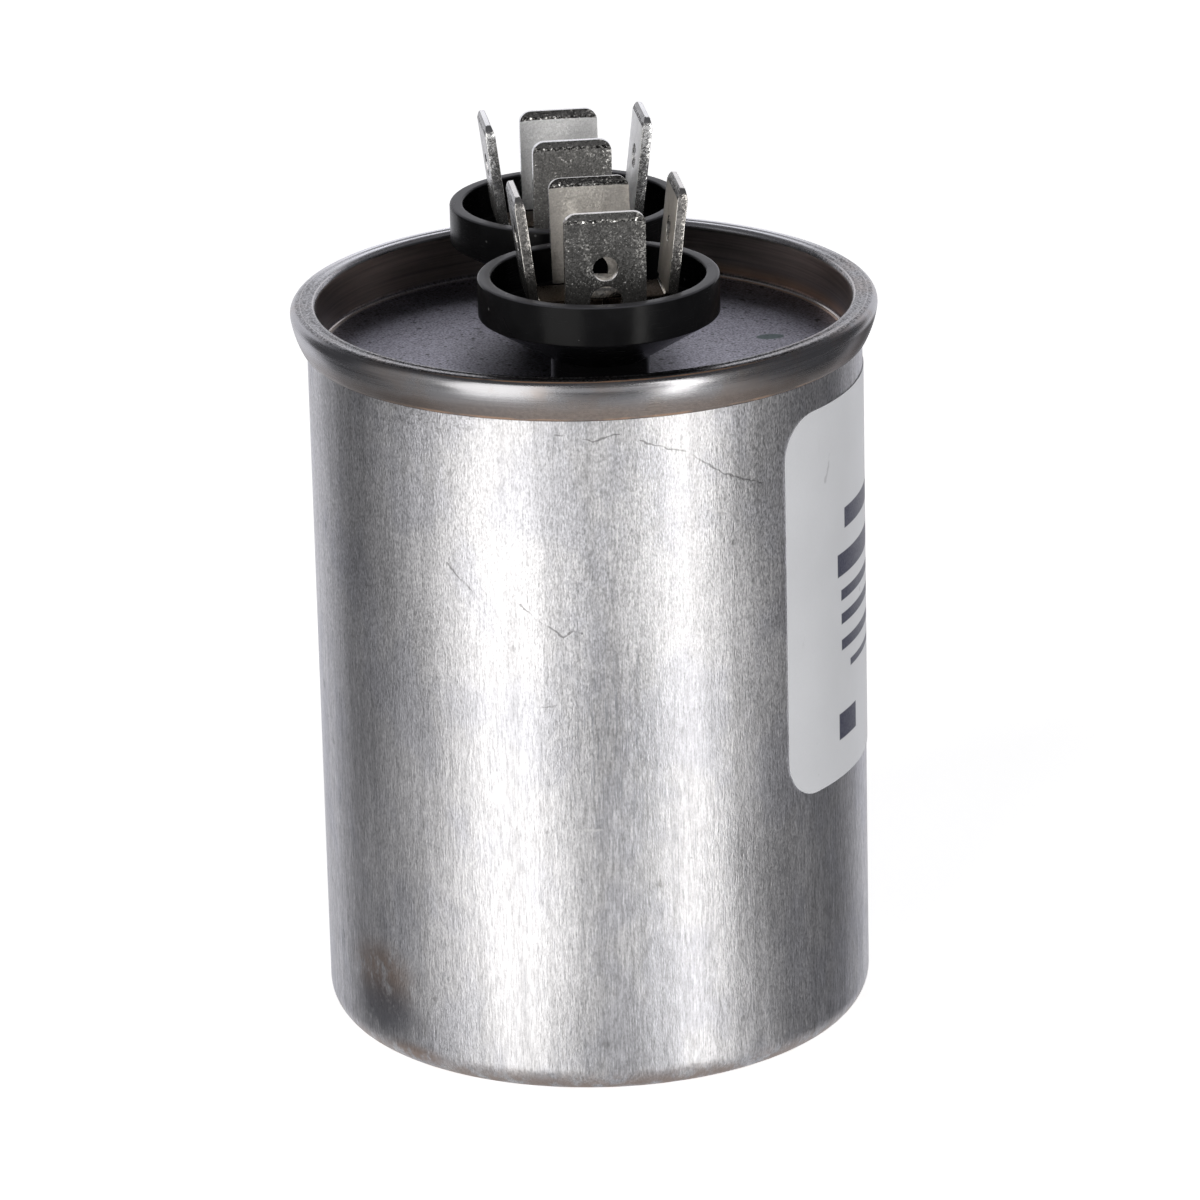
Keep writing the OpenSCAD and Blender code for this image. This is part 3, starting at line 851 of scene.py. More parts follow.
    def inner_wall(self, g: Graph, noise: CoverNoise) -> Socket:
        """Colour of the wall inside the rim, with a painted warm glow low on its right side."""
        sides = (g.step(g.polar(), *side) for side in (self.glow_start, self.glow_end))
        glow = g.times(*sides, g.step(g.z, *self.glow_z), self.painted_glow_share)
        return g.mix(glow, g.shade(self.wall, g.fit(noise.streak, 0.75, 1.25)), self.worn)

    def rolled(self, g: Graph, noise: CoverNoise, on_top: Socket) -> Socket:
        """Colour of the rim's rolled crown, with painted highlight rings and a painted reflection of the
        backdrop on its far side.

        Args:
            g: graph to draw in.
            noise: the cover's noises.
            on_top: mask of the rim's top.

        Returns:
            The colour.
        """
        tinged = g.times(g.step(noise.cloud, 0.48, 0.66), 0.5)
        rim = g.shade(g.mix(tinged, self.rim, self.brown), g.fit(noise.streak, 0.88, 1.1))
        matt = g.times(g.fit(noise.speckle, 0.1, 1.1, 0.33, 0.67), g.fit(noise.cloud, 0.8, 1.12))
        crown = g.times(on_top, g.step(g.radius(), *self.crown_r))
        rim = g.mix(crown, rim, g.shade(rim, matt))
        # Painted reflection of the backdrop on the far side of the crown.
        rim = g.mix(g.times(g.step(g.y, *self.far_y), on_top), rim, self.bright)
        # Painted highlights as thin light rings on the crown's inner lip and outer edge.
        lines = g.times(g.most(*(ring.mask(g) for ring in self.lines)), on_top)
        return g.mix(lines, rim, self.line)

    def shaded_and_rusted(self, g: Graph, noise: CoverNoise, rim: Socket) -> Socket:
        """Darkens the rim's face towards the bottom, brown at the front and with painted shade at its sides,
        and adds the rust and the painted seam shadow over its lower edge.

        Args:
            g: graph to draw in.
            noise: the cover's noises.
            rim: colour of the rolled rim.

        Returns:
            The new colour.
        """
        aside = self.aside(g)
        brown = g.shade(self.brown, g.fit(noise.grain, 0.8, 1.2))
        # Lower face: brown at the front, painted shade at the sides.
        dull = g.mix(g.step(aside, *self.dull_aside), self.shade, brown)
        rim = g.mix(g.times(g.step(g.z, *self.dull_z), g.fit(noise.cloud, 0.75, 1.0)), rim, dull)
        rust = g.times(g.step(g.z, *self.rust_z), g.step(g.ring_noise(self.rust), *self.rust.rise))
        rust = g.times(rust, g.step(aside, *self.rust_aside), self.rust_share)
        # Painted shadow in the seam under the rim's lower edge.
        return g.mix(g.step(g.z, *self.edge_z), g.mix(rust, rim, self.worn), self.edge)


@dataclass(frozen=True)
class MouldedPlastic:
    """Black moulded plastic with fine rubbed lines, dust and a paler top edge painted as a sheen."""

    tone: Colour = (0.0055, 0.0055, 0.006)
    # Colour of the painted sheen on the top edge.
    rubbed: Colour = (0.075, 0.075, 0.084)
    dust: Colour = (0.16, 0.16, 0.16)
    roughness: float = 0.22
    gloss: float = 0.085
    depth: float = 0.006
    cloud: Pattern = Pattern(0.5, 0.5, 3.0)
    grain: Pattern = Pattern(3.0, 3.0, 3.0)
    rubs: Pattern = Pattern(0.7, 14.0, rise=(0.56, 0.7))
    specks: Dots = Dots(1.1, 0.2, 0.16, 0.5)
    sheen_below: Span = (0.14, 0.02)

    def material(self) -> bpy.types.Material:
        """Builds the material."""
        g = Graph("moulded_plastic")
        cloud = g.noise(self.cloud)
        rubs = g.blots(self.rubs)
        colour = g.mix(g.specks(self.specks), g.shade(self.tone, g.fit(cloud, 0.75, 1.3)), self.dust)
        top = top_of("front_terminal_cup")
        # Painted sheen on the cup's top edge.
        colour = g.mix(g.step(g.z, *(top - below for below in self.sheen_below)), colour, self.rubbed)
        rough = g.fit(cloud, self.roughness - 0.05, self.roughness + 0.06)
        rough = g.plus(rough, g.times(rubs, 0.05))
        normal = g.bump(g.plus(g.noise(self.grain), g.times(rubs, 0.15)), self.depth)
        g.set(base_color=colour, roughness=rough, specular_ior_level=self.gloss, normal=normal)
        return g.material


@dataclass(frozen=True)
class TinPlate:
    """Tin-plated brass with a crystalline speckle."""

    name: str
    tone: Colour
    roughness: float
    contrast: float
    tilt: float = 0.15
    metallic: float = 1.0
    fleck_share: float = 0.4
    fleck_cells: float = 6.5
    fleck_size: float = 0.46
    grazing: float = 1.0
    depth: float = 0.006
    crystals: float = 8.0
    fleck: Colour = (0.96, 0.95, 0.93)
    grain: Pattern = Pattern(7.0, 7.0, 2.0, 0.6)
    cloud: Pattern = Pattern(0.45, 0.45, 3.0)

    def material(self) -> bpy.types.Material:
        """Builds the material."""
        g = Graph(self.name)
        grain, cloud = g.noise(self.grain), g.noise(self.cloud)
        flecks = g.specks(Dots(self.fleck_cells, self.fleck_size, self.fleck_share, self.contrast))
        gain = g.times(g.fit(grain, 1.0 - self.contrast, 1.0 + self.contrast), g.fit(cloud, 0.85, 1.12))
        colour = g.mix(flecks, g.shade(self.tone, gain), self.fleck)
        rough = g.fit(grain, self.roughness - 0.05, self.roughness + 0.06)
        rough = g.plus(rough, g.fit(cloud, -0.03, 0.03))
        normal = g.bump(grain, self.depth, g.facets(self.crystals, self.tilt))
        tint = (self.grazing, self.grazing, self.grazing)
        g.set(base_color=colour, metallic=self.metallic, roughness=rough, specular_tint=tint, normal=normal)
        return g.material


@dataclass(frozen=True)
class Bar:
    """Plain printed bar, by its ends from the label's left edge, its height and its thickness."""

    left: float
    right: float
    height: float
    thick: float
    blur: float = 0.04

    def mask(self, g: Graph, along: Socket) -> Socket:
        """Mask of the bar, from the distance along the label."""
        ends = g.math("ABSOLUTE", g.math("SUBTRACT", along, (self.left + self.right) / 2))
        beside = g.math("SUBTRACT", ends, (self.right - self.left) / 2)
        sides = g.math("ABSOLUTE", g.math("SUBTRACT", g.z, self.height))
        above = g.math("SUBTRACT", sides, self.thick / 2)
        return g.step(g.most(beside, above), self.blur, -self.blur)


@dataclass(frozen=True)
class LabelPaper:
    """White coated label with plain printed bars and faint scuffs."""

    paper: Colour = (0.54, 0.548, 0.572)
    ink: Colour = (0.018, 0.02, 0.05)
    rub: Colour = (0.3, 0.3, 0.32)
    depth: float = 0.004
    radius: float = 22.3
    fibre: Pattern = Pattern(6.0, 6.0, 3.0, 0.6)
    cloud: Pattern = Pattern(0.14, 0.14, 3.0)
    scuffs: Pattern = Pattern(0.5, 0.25, 4.0, 0.65, (0.66, 0.8))
    scuff_share: float = 0.25
    specks: Dots = Dots(0.5, 0.14, 0.4, 0.5)
    rubs: Marks = (((-37.5, 49.9), (-39.6, 47.9)),)
    rub_half: float = 0.2
    rub_share: float = 0.55
    bars: tuple[Bar, ...] = (
        Bar(8.4, 24.0, 43.9, 1.7),
        Bar(7.0, 30.0, 40.2, 1.9),
        Bar(7.6, 36.0, 37.6, 0.9),
        Bar(7.6, 33.0, 35.6, 0.9),
        Bar(7.6, 38.0, 33.4, 0.9),
        Bar(9.4, 20.0, 31.4, 0.6),
        Bar(7.0, 10.6, 26.6, 2.2),
    )

    def material(self) -> bpy.types.Material:
        """Builds the material."""
        g = Graph("label_paper")
        fibre, cloud = g.noise(self.fibre), g.noise(self.cloud)
        along = g.times(g.math("SUBTRACT", g.polar(), LABEL_START), math.radians(self.radius))
        printed = g.times(g.most(*(bar.mask(g, along) for bar in self.bars)), g.fit(fibre, 0.88, 1.0))
        paper = g.shade(self.paper, g.times(g.fit(fibre, 0.975, 1.02), g.fit(cloud, 0.95, 1.03)))
        rubbed = g.stroke(g.unrolled(self.radius), self.radius, self.rubs, self.rub_half)
        scuffs = g.times(g.blots(self.scuffs), self.scuff_share)
        worn = g.most(scuffs, g.times(rubbed, self.rub_share), g.specks(self.specks))
        colour = g.mix(worn, g.mix(printed, paper, self.ink), self.rub)
        normal = g.bump(fibre, self.depth)
        g.set(base_color=colour, roughness=g.fit(fibre, 0.36, 0.46), normal=normal)
        return g.material


@dataclass(frozen=True)
class InnerStock:
    """Finish of a piece inside the can: two close tones, grain and a soft bump."""

    name: str
    tone: Colour
    roughness: float = 0.5
    metallic: float = 0.0
    cells: float = 2.5
    stretch: float = 1.0
    depth: float = 0.02
    cloud: Pattern = Pattern(0.3, 0.3)

    def material(self) -> bpy.types.Material:
        """Builds the material."""
        g = Graph(self.name)
        grain = g.noise(Pattern(self.cells, self.cells * self.stretch, 4.0, 0.6))
        gain = g.times(g.fit(grain, 0.8, 1.15), g.fit(g.noise(self.cloud), 0.9, 1.1))
        rough = g.fit(grain, self.roughness - 0.08, self.roughness + 0.08)
        normal = g.bump(grain, self.depth)
        g.set(base_color=g.shade(self.tone, gain), metallic=self.metallic, roughness=rough, normal=normal)
        return g.material


def dress(piece: bpy.types.Object, *materials: bpy.types.Material) -> None:
    """Puts materials in a piece's slots, in place of what is there."""
    piece.data.materials.clear()
    for material in materials:
        piece.data.materials.append(material)


def hand_over(piece: bpy.types.Object, slot: str, *nodes: str) -> None:
    """Lets a piece ride on the part and stand for CAD nodes.

    Args:
        piece: the finished piece.
        slot: the record's material slot; not used.
        *nodes: CAD nodes it stands for.
    """
    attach(piece, "root")
    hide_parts(*nodes)
    LOG.info("%s: %d faces", piece.name, len(piece.data.polygons))


@dataclass
class Can:
    """Drawn can, folded into the rim's hook at its top."""

    wall_r: float = WALL_R
    sheet: float = 0.4
    corner_r: float = 2.5
    neck_in: float = 0.04
    neck_z: float = 56.7
    shoulder_h: float = 0.3
    fold_z: float = 59.1
    fold_r: float = 0.25
    hook_z: float = 58.7
    facets: int = 256

    def profile(self) -> Profile:
        """Section of the sheet, out along the base and up, then back down the inside."""
        neck_r = self.wall_r - self.neck_in
        inside_r = self.wall_r - self.sheet
        inner_corner = self.corner_r - self.sheet
        middle = self.wall_r - self.corner_r
        fold = neck_r + self.fold_r
        shoulder_z = self.neck_z - self.shoulder_h
        pen = Profile().to(0, 0).to(middle * 0.5, 0).arc(middle, self.corner_r, self.corner_r, -90, 0, 14)
        pen.to(self.wall_r, self.neck_z / 2).to(self.wall_r, shoulder_z).to(neck_r, self.neck_z)
        pen.arc(fold, self.fold_z, self.fold_r, 180, 0)
        pen.to(fold + self.fold_r, self.hook_z).to(fold + self.fold_r + self.sheet, self.hook_z)
        pen.arc(fold, self.fold_z, self.fold_r + self.sheet, 0, 180)
        pen.to(inside_r - self.neck_in, self.neck_z).to(inside_r, shoulder_z)
        return pen.arc(middle, self.corner_r, inner_corner, 0, -90).to(0, self.sheet)

    def build(self, finish: DrawnAluminium) -> None:
        """Turns the can and dresses it."""
        piece = Bench.lathe("drawn_can", self.profile(), self.facets)
        dress(piece, finish.material())
        hand_over(piece, "can_aluminium", "can")


@dataclass
class Cover:
    """Sunk cover with the rolled rim that holds it on the can."""

    chuck_r: float = 21.385
    rim_r: float = 23.485
    hook_r: float = 22.285
    sheet: float = 0.3
    panel_z: float = PANEL_Z
    corner_r: float = 0.4
    lip_r: float = 0.6
    crest_r: float = 0.8
    hook_z: float = 58.75
    hook_w: float = 0.1
    barrel_r: float = 7.5
    barrel_start: float = 9.0
    barrel_turn: float = 28.0
    tuck_r: float = 0.3
    tuck_turn: float = 150.0
    groove_z: float = 0.07
    groove: tuple[Span, ...] = ((0.15, 0.3), (0.3, 1.0), (0.45, 1.0), (0.6, 0.3), (0.75, 0.0))
    facets: int = 256

    def profile(self) -> Profile:
        """Section of the sheet from the panel's middle out to the hook, then back underneath.

        The groove's points are shares of the crown's width and of the groove's depth.
        """
        crest_z = top_of("cover")
        under = self.panel_z - self.sheet
        flat = self.chuck_r - self.corner_r
        lip, crest = self.chuck_r + self.lip_r, self.rim_r - self.crest_r
        start, tuck = math.radians(self.barrel_start), math.radians(self.barrel_turn)
        barrel = self.barrel_r - self.crest_r
        middle = crest - barrel * math.cos(start)
        middle_z = crest_z - self.crest_r + barrel * math.sin(start)
        inset = self.barrel_r - self.tuck_r
        tuck_r, tuck_z = middle + inset * math.cos(tuck), middle_z - inset * math.sin(tuck)
        pen = Profile().to(0, self.panel_z).to(flat * 0.5, self.panel_z)
        pen.arc(flat, self.panel_z + self.corner_r, self.corner_r, -90, 0)
        pen.arc(lip, crest_z - self.lip_r, self.lip_r, 180, 90)
        for share, depth in self.groove:
            pen.to(lip + (crest - lip) * share, crest_z - self.groove_z * depth)
        pen.arc(crest, crest_z - self.crest_r, self.crest_r, 90, -self.barrel_start, 12)
        pen.arc(middle, middle_z, self.barrel_r, -self.barrel_start, -self.barrel_turn, 10)
        pen.arc(tuck_r, tuck_z, self.tuck_r, -self.barrel_turn, -self.tuck_turn)
        pen.to(self.hook_r, self.hook_z).to(self.hook_r + self.hook_w, self.hook_z).to(tuck_r, tuck_z)
        pen.arc(middle, middle_z, self.barrel_r - self.sheet, -self.barrel_turn, -self.barrel_start)
        pen.arc(crest, crest_z - self.crest_r, self.crest_r - self.sheet, -self.barrel_start, 90)
        pen.arc(lip, crest_z - self.lip_r, self.lip_r - self.sheet, 90, 180)
        return pen.arc(flat, self.panel_z + self.corner_r, self.corner_r + self.sheet, 0, -90).to(0, under)

    def build(self, finish: CoverSteel) -> None:
        """Turns the cover and dresses it."""
        piece = Bench.lathe("rolled_cover", self.profile(), self.facets)
        dress(piece, finish.material())
        hand_over(piece, "cover_steel", "cover")


@dataclass
class TerminalCup:
    """Black cup on its neck, one on each terminal."""

    radius: float = 9.5
    wall: float = 1.1
    depth: float = 3.05
    band: float = 3.15
    edge_r: float = 0.22
    neck_r: float = 3.9
    neck_z: float = 58.5
    foot_r: float = 4.1
    foot_h: float = 0.5
    cone_in: float = 0.12
    cone_drop: float = 0.05
    under_r: float = 0.15
    under_z: float = 0.1
    under_turn: float = 40.0
    floor_r: float = 0.3
    facets: int = 192

    def profile(self, top: float) -> Profile:
        """Section from the neck's foot up the outside, over the edge and down to the cup's floor.

        Args:
            top: height of the cup's edge.

        Returns:
            The half section.
        """
        inside = self.radius - self.wall
        edge = top - self.edge_r
        under = top - self.band
        floor = top - self.depth
        pen = Profile().to(0, PANEL_Z).to(self.foot_r, PANEL_Z).to(self.neck_r, PANEL_Z + self.foot_h)
        pen.to(self.neck_r, self.neck_z).to(self.radius - self.cone_in, under - self.cone_drop)
        pen.arc(self.radius - self.under_r, under + self.under_z, self.under_r, -self.under_turn, 0, 4)
        pen.arc(self.radius - self.edge_r, edge, self.edge_r, 0, 90)
        pen.arc(inside + self.edge_r, edge, self.edge_r, 90, 180)
        pen.arc(inside - self.floor_r, floor + self.floor_r, self.floor_r, 0, -90, 4)
        return pen.to(0, floor)

    def build(self, finish: MouldedPlastic) -> None:
        """Turns the first cup, copies it to the other terminal and dresses both."""
        material = finish.material()
        first: bpy.types.Object | None = None
        for terminal in Terminal:
            node = f"{terminal.label}_terminal_cup"
            name = f"{terminal.label}_cup"
            if first is None:
                piece = first = Bench.lathe(name, self.profile(top_of(node)), self.facets, terminal.y)
            else:
                piece = Bench.copy(first, name)
                bpy.ops.object.mode_set(mode="EDIT")
                bpy.ops.mesh.select_all(action="SELECT")
                Bench.move(y=terminal.y - Terminal.FRONT.y)
                bpy.ops.object.mode_set(mode="OBJECT")
            dress(piece, material)
            hand_over(piece, "cup_plastic", node)


@dataclass(frozen=True)
class PairSize:
    """Sizes that differ between the two pairs of a terminal."""

    height: float
    span: float
    lean: float
    detent_z: float
    turn: float
    relieved: bool


PAIRS: dict[Pair, PairSize] = {
    Pair.LOWER: PairSize(height=9.3, span=9.64, lean=2.3, detent_z=3.65, turn=0.0, relieved=True),
    Pair.UPPER: PairSize(height=9.45, span=11.7, lean=6.9, detent_z=4.45, turn=90.0, relieved=False),
}

# Lean in degrees of the one blade that is bent further out than the others.
FRONT_BENT = 8.3
# Shares of a face's normal along the way that its blade faces.
FULL_ON, SLANTED, SIDEWAYS = 0.9, 0.5, 0.2


@dataclass
class BladePair:
    """Two push-on blades bent up from one strip."""

    terminal: Terminal
    pair: Pair
    bent: float | None = None
    width: float = 6.35
    thick: float = 0.8
    strip_w: float = 4.4
    bend_r: float = 0.4
    corner_r: float = 0.95
    tip_h: float = 0.7
    tip_t: float = 0.2
    detent_d: float = 2.0
    relief_d: float = 2.56
    relief_z: float = 0.95
    edge_r: float = 0.17
    edge_angle: float = 14.0
    smooth: float = 32.0
    glint_h: float = 0.24
    glint_reach: float = 0.9
    hole_facets: int = 48
    near: float = 0.01
    level_near: float = 0.0006
    bend_near: float = 0.06

    @property
    def size(self) -> PairSize:
        """Sizes of this pair."""
        return PAIRS[self.pair]

    @property
    def bend_y(self) -> float:
        """Place of the bend's axis, out from the middle."""
        return self.size.span / 2 - self.thick - self.bend_r

    @property
    def bend_z(self) -> float:
        """Height of the bend's axis above the strip's underside."""
        return self.thick + self.bend_r

    @property
    def face_y(self) -> float:
        """Place of the upright blade's middle plane."""
        return self.bend_y + self.bend_r + self.thick / 2

    def length(self, lean: float) -> float:
        """Blade length above the bend's axis that gives the pair's height at a lean in degrees."""
        slope = math.radians(lean)
        reach = (self.bend_r + self.thick / 2) * math.sin(slope)
        return (self.size.height - self.bend_z + reach) / math.cos(slope)

    def upright(self, name: str, lean: float) -> bpy.types.Object:
        """Models one blade with its bend and half the strip, before it is leant outwards.

        Args:
            name: name of the new piece.
            lean: lean in degrees that its length allows for.

        Returns:
            The sheet at its full thickness, holes included.
        """
        length = self.length(lean)
        tip = self.bend_z + length
        piece = Bench.start(name)
        Bench.turn(90, "X", Vector())
        bpy.ops.transform.resize(value=(self.width * MM, 1, length * MM))
        Bench.move(0, self.face_y, self.bend_z + length / 2)
        Bench.pick(piece, lambda p: p.z > tip - self.near)
        bpy.ops.mesh.bevel(affect="VERTICES", offset=self.corner_r * MM, segments=8)
        for side in (-1, 1):
            bpy.ops.mesh.select_all(action="SELECT")
            bpy.ops.mesh.bisect(plane_co=(side * self.strip_w / 2 * MM, 0, 0), plane_no=(1, 0, 0))
        half = self.strip_w / 2 + self.near
        Bench.pick(piece, lambda p: p.z < self.bend_z + self.near and abs(p.x) < half)
        bpy.ops.mesh.spin(
            steps=8, angle=math.pi / 2, center=(0, self.bend_y * MM, self.bend_z * MM), axis=(1, 0, 0)
        )
        Bench.extrude(y=-self.bend_y)
        bpy.ops.object.mode_set(mode="OBJECT")
        Bench.apply(piece, "SOLIDIFY", thickness=self.thick * MM, offset=0.0, use_even_offset=True)
        self.chamfer_tip(piece, tip)
        self.pierce(piece, self.bend_z + self.size.detent_z, self.detent_d)
        if self.size.relieved:
            self.pierce(piece, self.bend_z + self.relief_z, self.relief_d)
        return piece

    def chamfer_tip(self, piece: bpy.types.Object, tip: float) -> None:
        """Thins the blade towards its tip on both faces.

        Args:
            piece: the upright blade.
            tip: height of its tip.
        """
        start = tip - self.tip_h
        Bench.only(piece)
        bpy.ops.object.mode_set(mode="EDIT")
        for height in (start, start + self.glint_h):
            bpy.ops.mesh.select_all(action="SELECT")
            bpy.ops.mesh.bisect(plane_co=(0, 0, height * MM), plane_no=(0, 0, 1))
        bpy.ops.object.mode_set(mode="OBJECT")
        heights = {round(vertex.co.z / MM, 3) for vertex in piece.data.vertices}
        levels = sorted(height for height in heights if height > start + self.near)
        bpy.ops.object.mode_set(mode="EDIT")
        for level in levels:
            thinner = 1 - 2 * self.tip_t / self.thick * (level - start) / self.tip_h
            Bench.pick(piece, lambda p, level=level: abs(p.z - level) < self.level_near)
            bpy.ops.transform.resize(value=(1, thinner, 1), center_override=(0, self.face_y * MM, level * MM))
        bpy.ops.object.mode_set(mode="OBJECT")

    def pierce(self, piece: bpy.types.Object, height: float, across: float) -> None:
        """Cuts a round hole through the upright blade.

        Args:
            piece: the upright blade.
            height: height of the hole's middle.
            across: its diameter.
        """
        Bench.clear()
        bpy.ops.mesh.primitive_cylinder_add(
            vertices=self.hole_facets,
            radius=across / 2 * MM,
            depth=4 * self.thick * MM,
            location=(0, self.face_y * MM, height * MM),
            rotation=(math.pi / 2, 0, 0),
        )
        cutter = bpy.context.object
        Bench.apply(piece, "BOOLEAN", operation="DIFFERENCE", object=cutter, solver="MANIFOLD")
        bpy.data.objects.remove(cutter)

    def leaning(self, name: str, lean: float) -> bpy.types.Object:
        """Models one blade, leans it outwards about its bend and rounds its edges.

        Args:
            name: name of the new piece.
            lean: angle in degrees.

        Returns:
            The blade at the middle of its terminal, before it is placed.
        """
        piece = self.upright(name, lean)
        Bench.only(piece)
        bpy.ops.object.mode_set(mode="EDIT")
        Bench.pick(piece, lambda p: p.z > self.bend_z - self.bend_near)
        Bench.turn(-lean, "X", Vector((0, self.bend_y, self.bend_z)))
        bpy.ops.object.mode_set(mode="OBJECT")
        limit = math.radians(self.edge_angle)
        width = self.edge_r * MM
        Bench.apply(piece, "BEVEL", width=width, segments=3, limit_method="ANGLE", angle_limit=limit)
        Bench.only(piece)
        bpy.ops.object.shade_smooth_by_angle(angle=math.radians(self.smooth))
        return piece

    def place(self, piece: bpy.types.Object, turn: float, base_z: float) -> None:
        """Turns a leaning blade to its side of the terminal and lifts it to its seat."""
        Bench.only(piece)
        bpy.ops.object.mode_set(mode="EDIT")
        bpy.ops.mesh.select_all(action="SELECT")
        Bench.turn(turn, "Z", Vector())
        Bench.move(0, self.terminal.y, base_z)
        bpy.ops.object.mode_set(mode="OBJECT")

    def paint(self, piece: bpy.types.Object, turn: float) -> None:
        """Gives faces the slot of their side, by their height and normal.

        Args:
            piece: a placed blade.
            turn: angle in degrees that it was turned by.
        """
        outward = Matrix.Rotation(math.radians(turn), 3, "Z") @ Vector((0, 1, 0))
        heights = [v.co.z / MM for v in piece.data.vertices]
        line = max(heights) - self.tip_h
        foot = min(heights) + self.bend_z
        for polygon in piece.data.polygons:
            facing = polygon.normal.dot(outward)
            above = polygon.center.z / MM - line
            face = Face.OUTER if facing > FULL_ON else Face.INNER if facing < -FULL_ON else Face.EDGE
            if abs(facing) > SLANTED and abs(above - self.glint_h / 2) < self.glint_h * self.glint_reach:
                face = Face.GLINT
            elif abs(facing) > SLANTED and above > 0:
                face = Face.TIP
            elif abs(facing) < SLANTED and polygon.center.z / MM < foot:
                face = Face.STRIP
            elif abs(facing) < SIDEWAYS and abs(polygon.normal.z) < SLANTED:
                face = Face.CUT
            polygon.material_index = face.value

    def build(self, materials: list[bpy.types.Material]) -> None:
        """Models both blades, joins them and dresses the pair.

        Args:
            materials: materials in the order of the face slots.
        """
        node = f"{self.terminal.label}_{self.pair.value}_blades"
        base_z = bottom_of(node)
        first = self.leaning(f"{node}_0", self.bent or self.size.lean)
        name = f"{node}_1"
        second = self.leaning(name, self.size.lean) if self.bent else Bench.copy(first, name)
        for i, half in enumerate((first, second)):
            turn = self.size.turn + 180 * i
            self.place(half, turn, base_z)
            dress(half, *materials)
            self.paint(half, turn)
        Bench.only(first)
        second.select_set(True)
        bpy.ops.object.join()
        first.name = first.data.name = f"{self.terminal.label}_{self.pair.value}_pair"
        hand_over(first, "blade_tin", node)


@dataclass
class Rivet:
    """Set rivet with a dished head between the blades, one on each terminal."""

    head_r: float = 2.4
    head_h: float = 0.8
    rest_in: float = 0.1
    under_r: float = 0.15
    under_turn: float = 60.0
    crown_r: float = 0.45
    dish_r: float = 1.1
    dish_floor_r: float = 0.9
    dish_h: float = 0.25
    shank_r: float = 1.5
    facets: int = 64

    def profile(self, foot: float, top: float) -> Profile:
        """Section from the shank's foot up and over the head, given both heights."""
        seat = top - self.head_h
        dish = top - self.dish_h
        pen = Profile().to(0, foot).to(self.shank_r, foot).to(self.shank_r, seat)
        pen.to(self.head_r - self.rest_in, seat)
        pen.arc(self.head_r - self.under_r, seat + self.under_r, self.under_r, -self.under_turn, 0, 4)
        pen.arc(self.head_r - self.crown_r, top - self.crown_r, self.crown_r, 0, 90, 6)
        return pen.to(self.dish_r, top).to(self.dish_floor_r, dish).to(0, dish)

    def build(self, finish: TinPlate) -> None:
        """Turns a rivet for each terminal and dresses it."""
        material = finish.material()
        for terminal in Terminal:
            node = f"{terminal.label}_rivet"
            profile = self.profile(bottom_of(node), top_of(node))
            piece = Bench.lathe(f"{terminal.label}_set_rivet", profile, self.facets, terminal.y)
            dress(piece, material)
            hand_over(piece, "rivet_steel", node)


@dataclass
class Label:
    """Paper label wrapped round the can's right side."""

    width: float = 47.0
    corner_r: float = 3.4
    radius: float = 22.245
    thick: float = 0.06
    columns: int = 64
    corner_steps: int = 10

    def build(self, finish: LabelPaper) -> None:
        """Models the label flat, wraps it round the can and dresses it."""
        low, high = bottom_of("label"), top_of("label")
        span = self.width / self.radius
        piece = Bench.start("paper_label")
        Bench.turn(90, "X", Vector())
        bpy.ops.transform.resize(value=(self.width * MM, 1, (high - low) * MM))
        bpy.ops.mesh.bevel(affect="VERTICES", offset=self.corner_r * MM, segments=self.corner_steps)
        for i in range(1, self.columns):
            place = self.width * (i / self.columns - 0.5)
            bpy.ops.mesh.select_all(action="SELECT")
            bpy.ops.mesh.bisect(plane_co=(place * MM, 0, 0), plane_no=(1, 0, 0))
        bpy.ops.object.mode_set(mode="OBJECT")
        Bench.apply(piece, "SIMPLE_DEFORM", deform_method="BEND", deform_axis="Z", angle=span)
        bpy.ops.object.mode_set(mode="EDIT")
        bpy.ops.mesh.select_all(action="SELECT")
        Bench.move(0, -self.radius, (low + high) / 2)
        Bench.turn(90 + LABEL_START + math.degrees(span) / 2, "Z", Vector())
        bpy.ops.mesh.normals_make_consistent(inside=False)
        bpy.ops.object.mode_set(mode="OBJECT")
        Bench.apply(piece, "SOLIDIFY", thickness=self.thick * MM, offset=1.0)
        Bench.only(piece)
        bpy.ops.object.shade_smooth_by_angle(angle=math.radians(SMOOTH))
        dress(piece, finish.material())
        hand_over(piece, "label_paper", "label")


@dataclass
class Inside:
    """CAD nodes sealed inside the can, which keep their shape and get a finish each."""

    finishes: dict[InnerStock, tuple[str, ...]]

    def build(self) -> None:
        """Dresses every node that no new piece stands for."""
        for finish, names in self.finishes.items():
            material = finish.material()
            for name in names:
                dress(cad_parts[name], material)
                LOG.info("%s: %s", name, finish.name)


RUBBER = InnerStock("washer_rubber", (0.03, 0.03, 0.03), roughness=0.65)
COMPOUND = InnerStock("seam_compound", (0.28, 0.22, 0.13), roughness=0.6)
INSULATOR = InnerStock("insulator_plastic", (0.72, 0.69, 0.6))
CORE = InnerStock("core_plastic", (0.62, 0.58, 0.5))
BOARD = InnerStock("disc_board", (0.38, 0.25, 0.11), roughness=0.7, cells=1.5)
BRASS = InnerStock("lug_brass", (0.7, 0.52, 0.24), roughness=0.3, metallic=1.0, cells=4.0)
LEAD = InnerStock("lead_tin", (0.62, 0.6, 0.56), roughness=0.3, metallic=1.0, cells=4.0)
SPRAY = InnerStock("end_metal", (0.42, 0.42, 0.41), roughness=0.65, metallic=1.0, cells=3.0)
FILM = InnerStock("wound_film", (0.68, 0.65, 0.56), roughness=0.25, cells=6.0, stretch=0.02)
SLEEVE = InnerStock("sleeve_film", (0.78, 0.76, 0.68), roughness=0.4, cells=1.0)

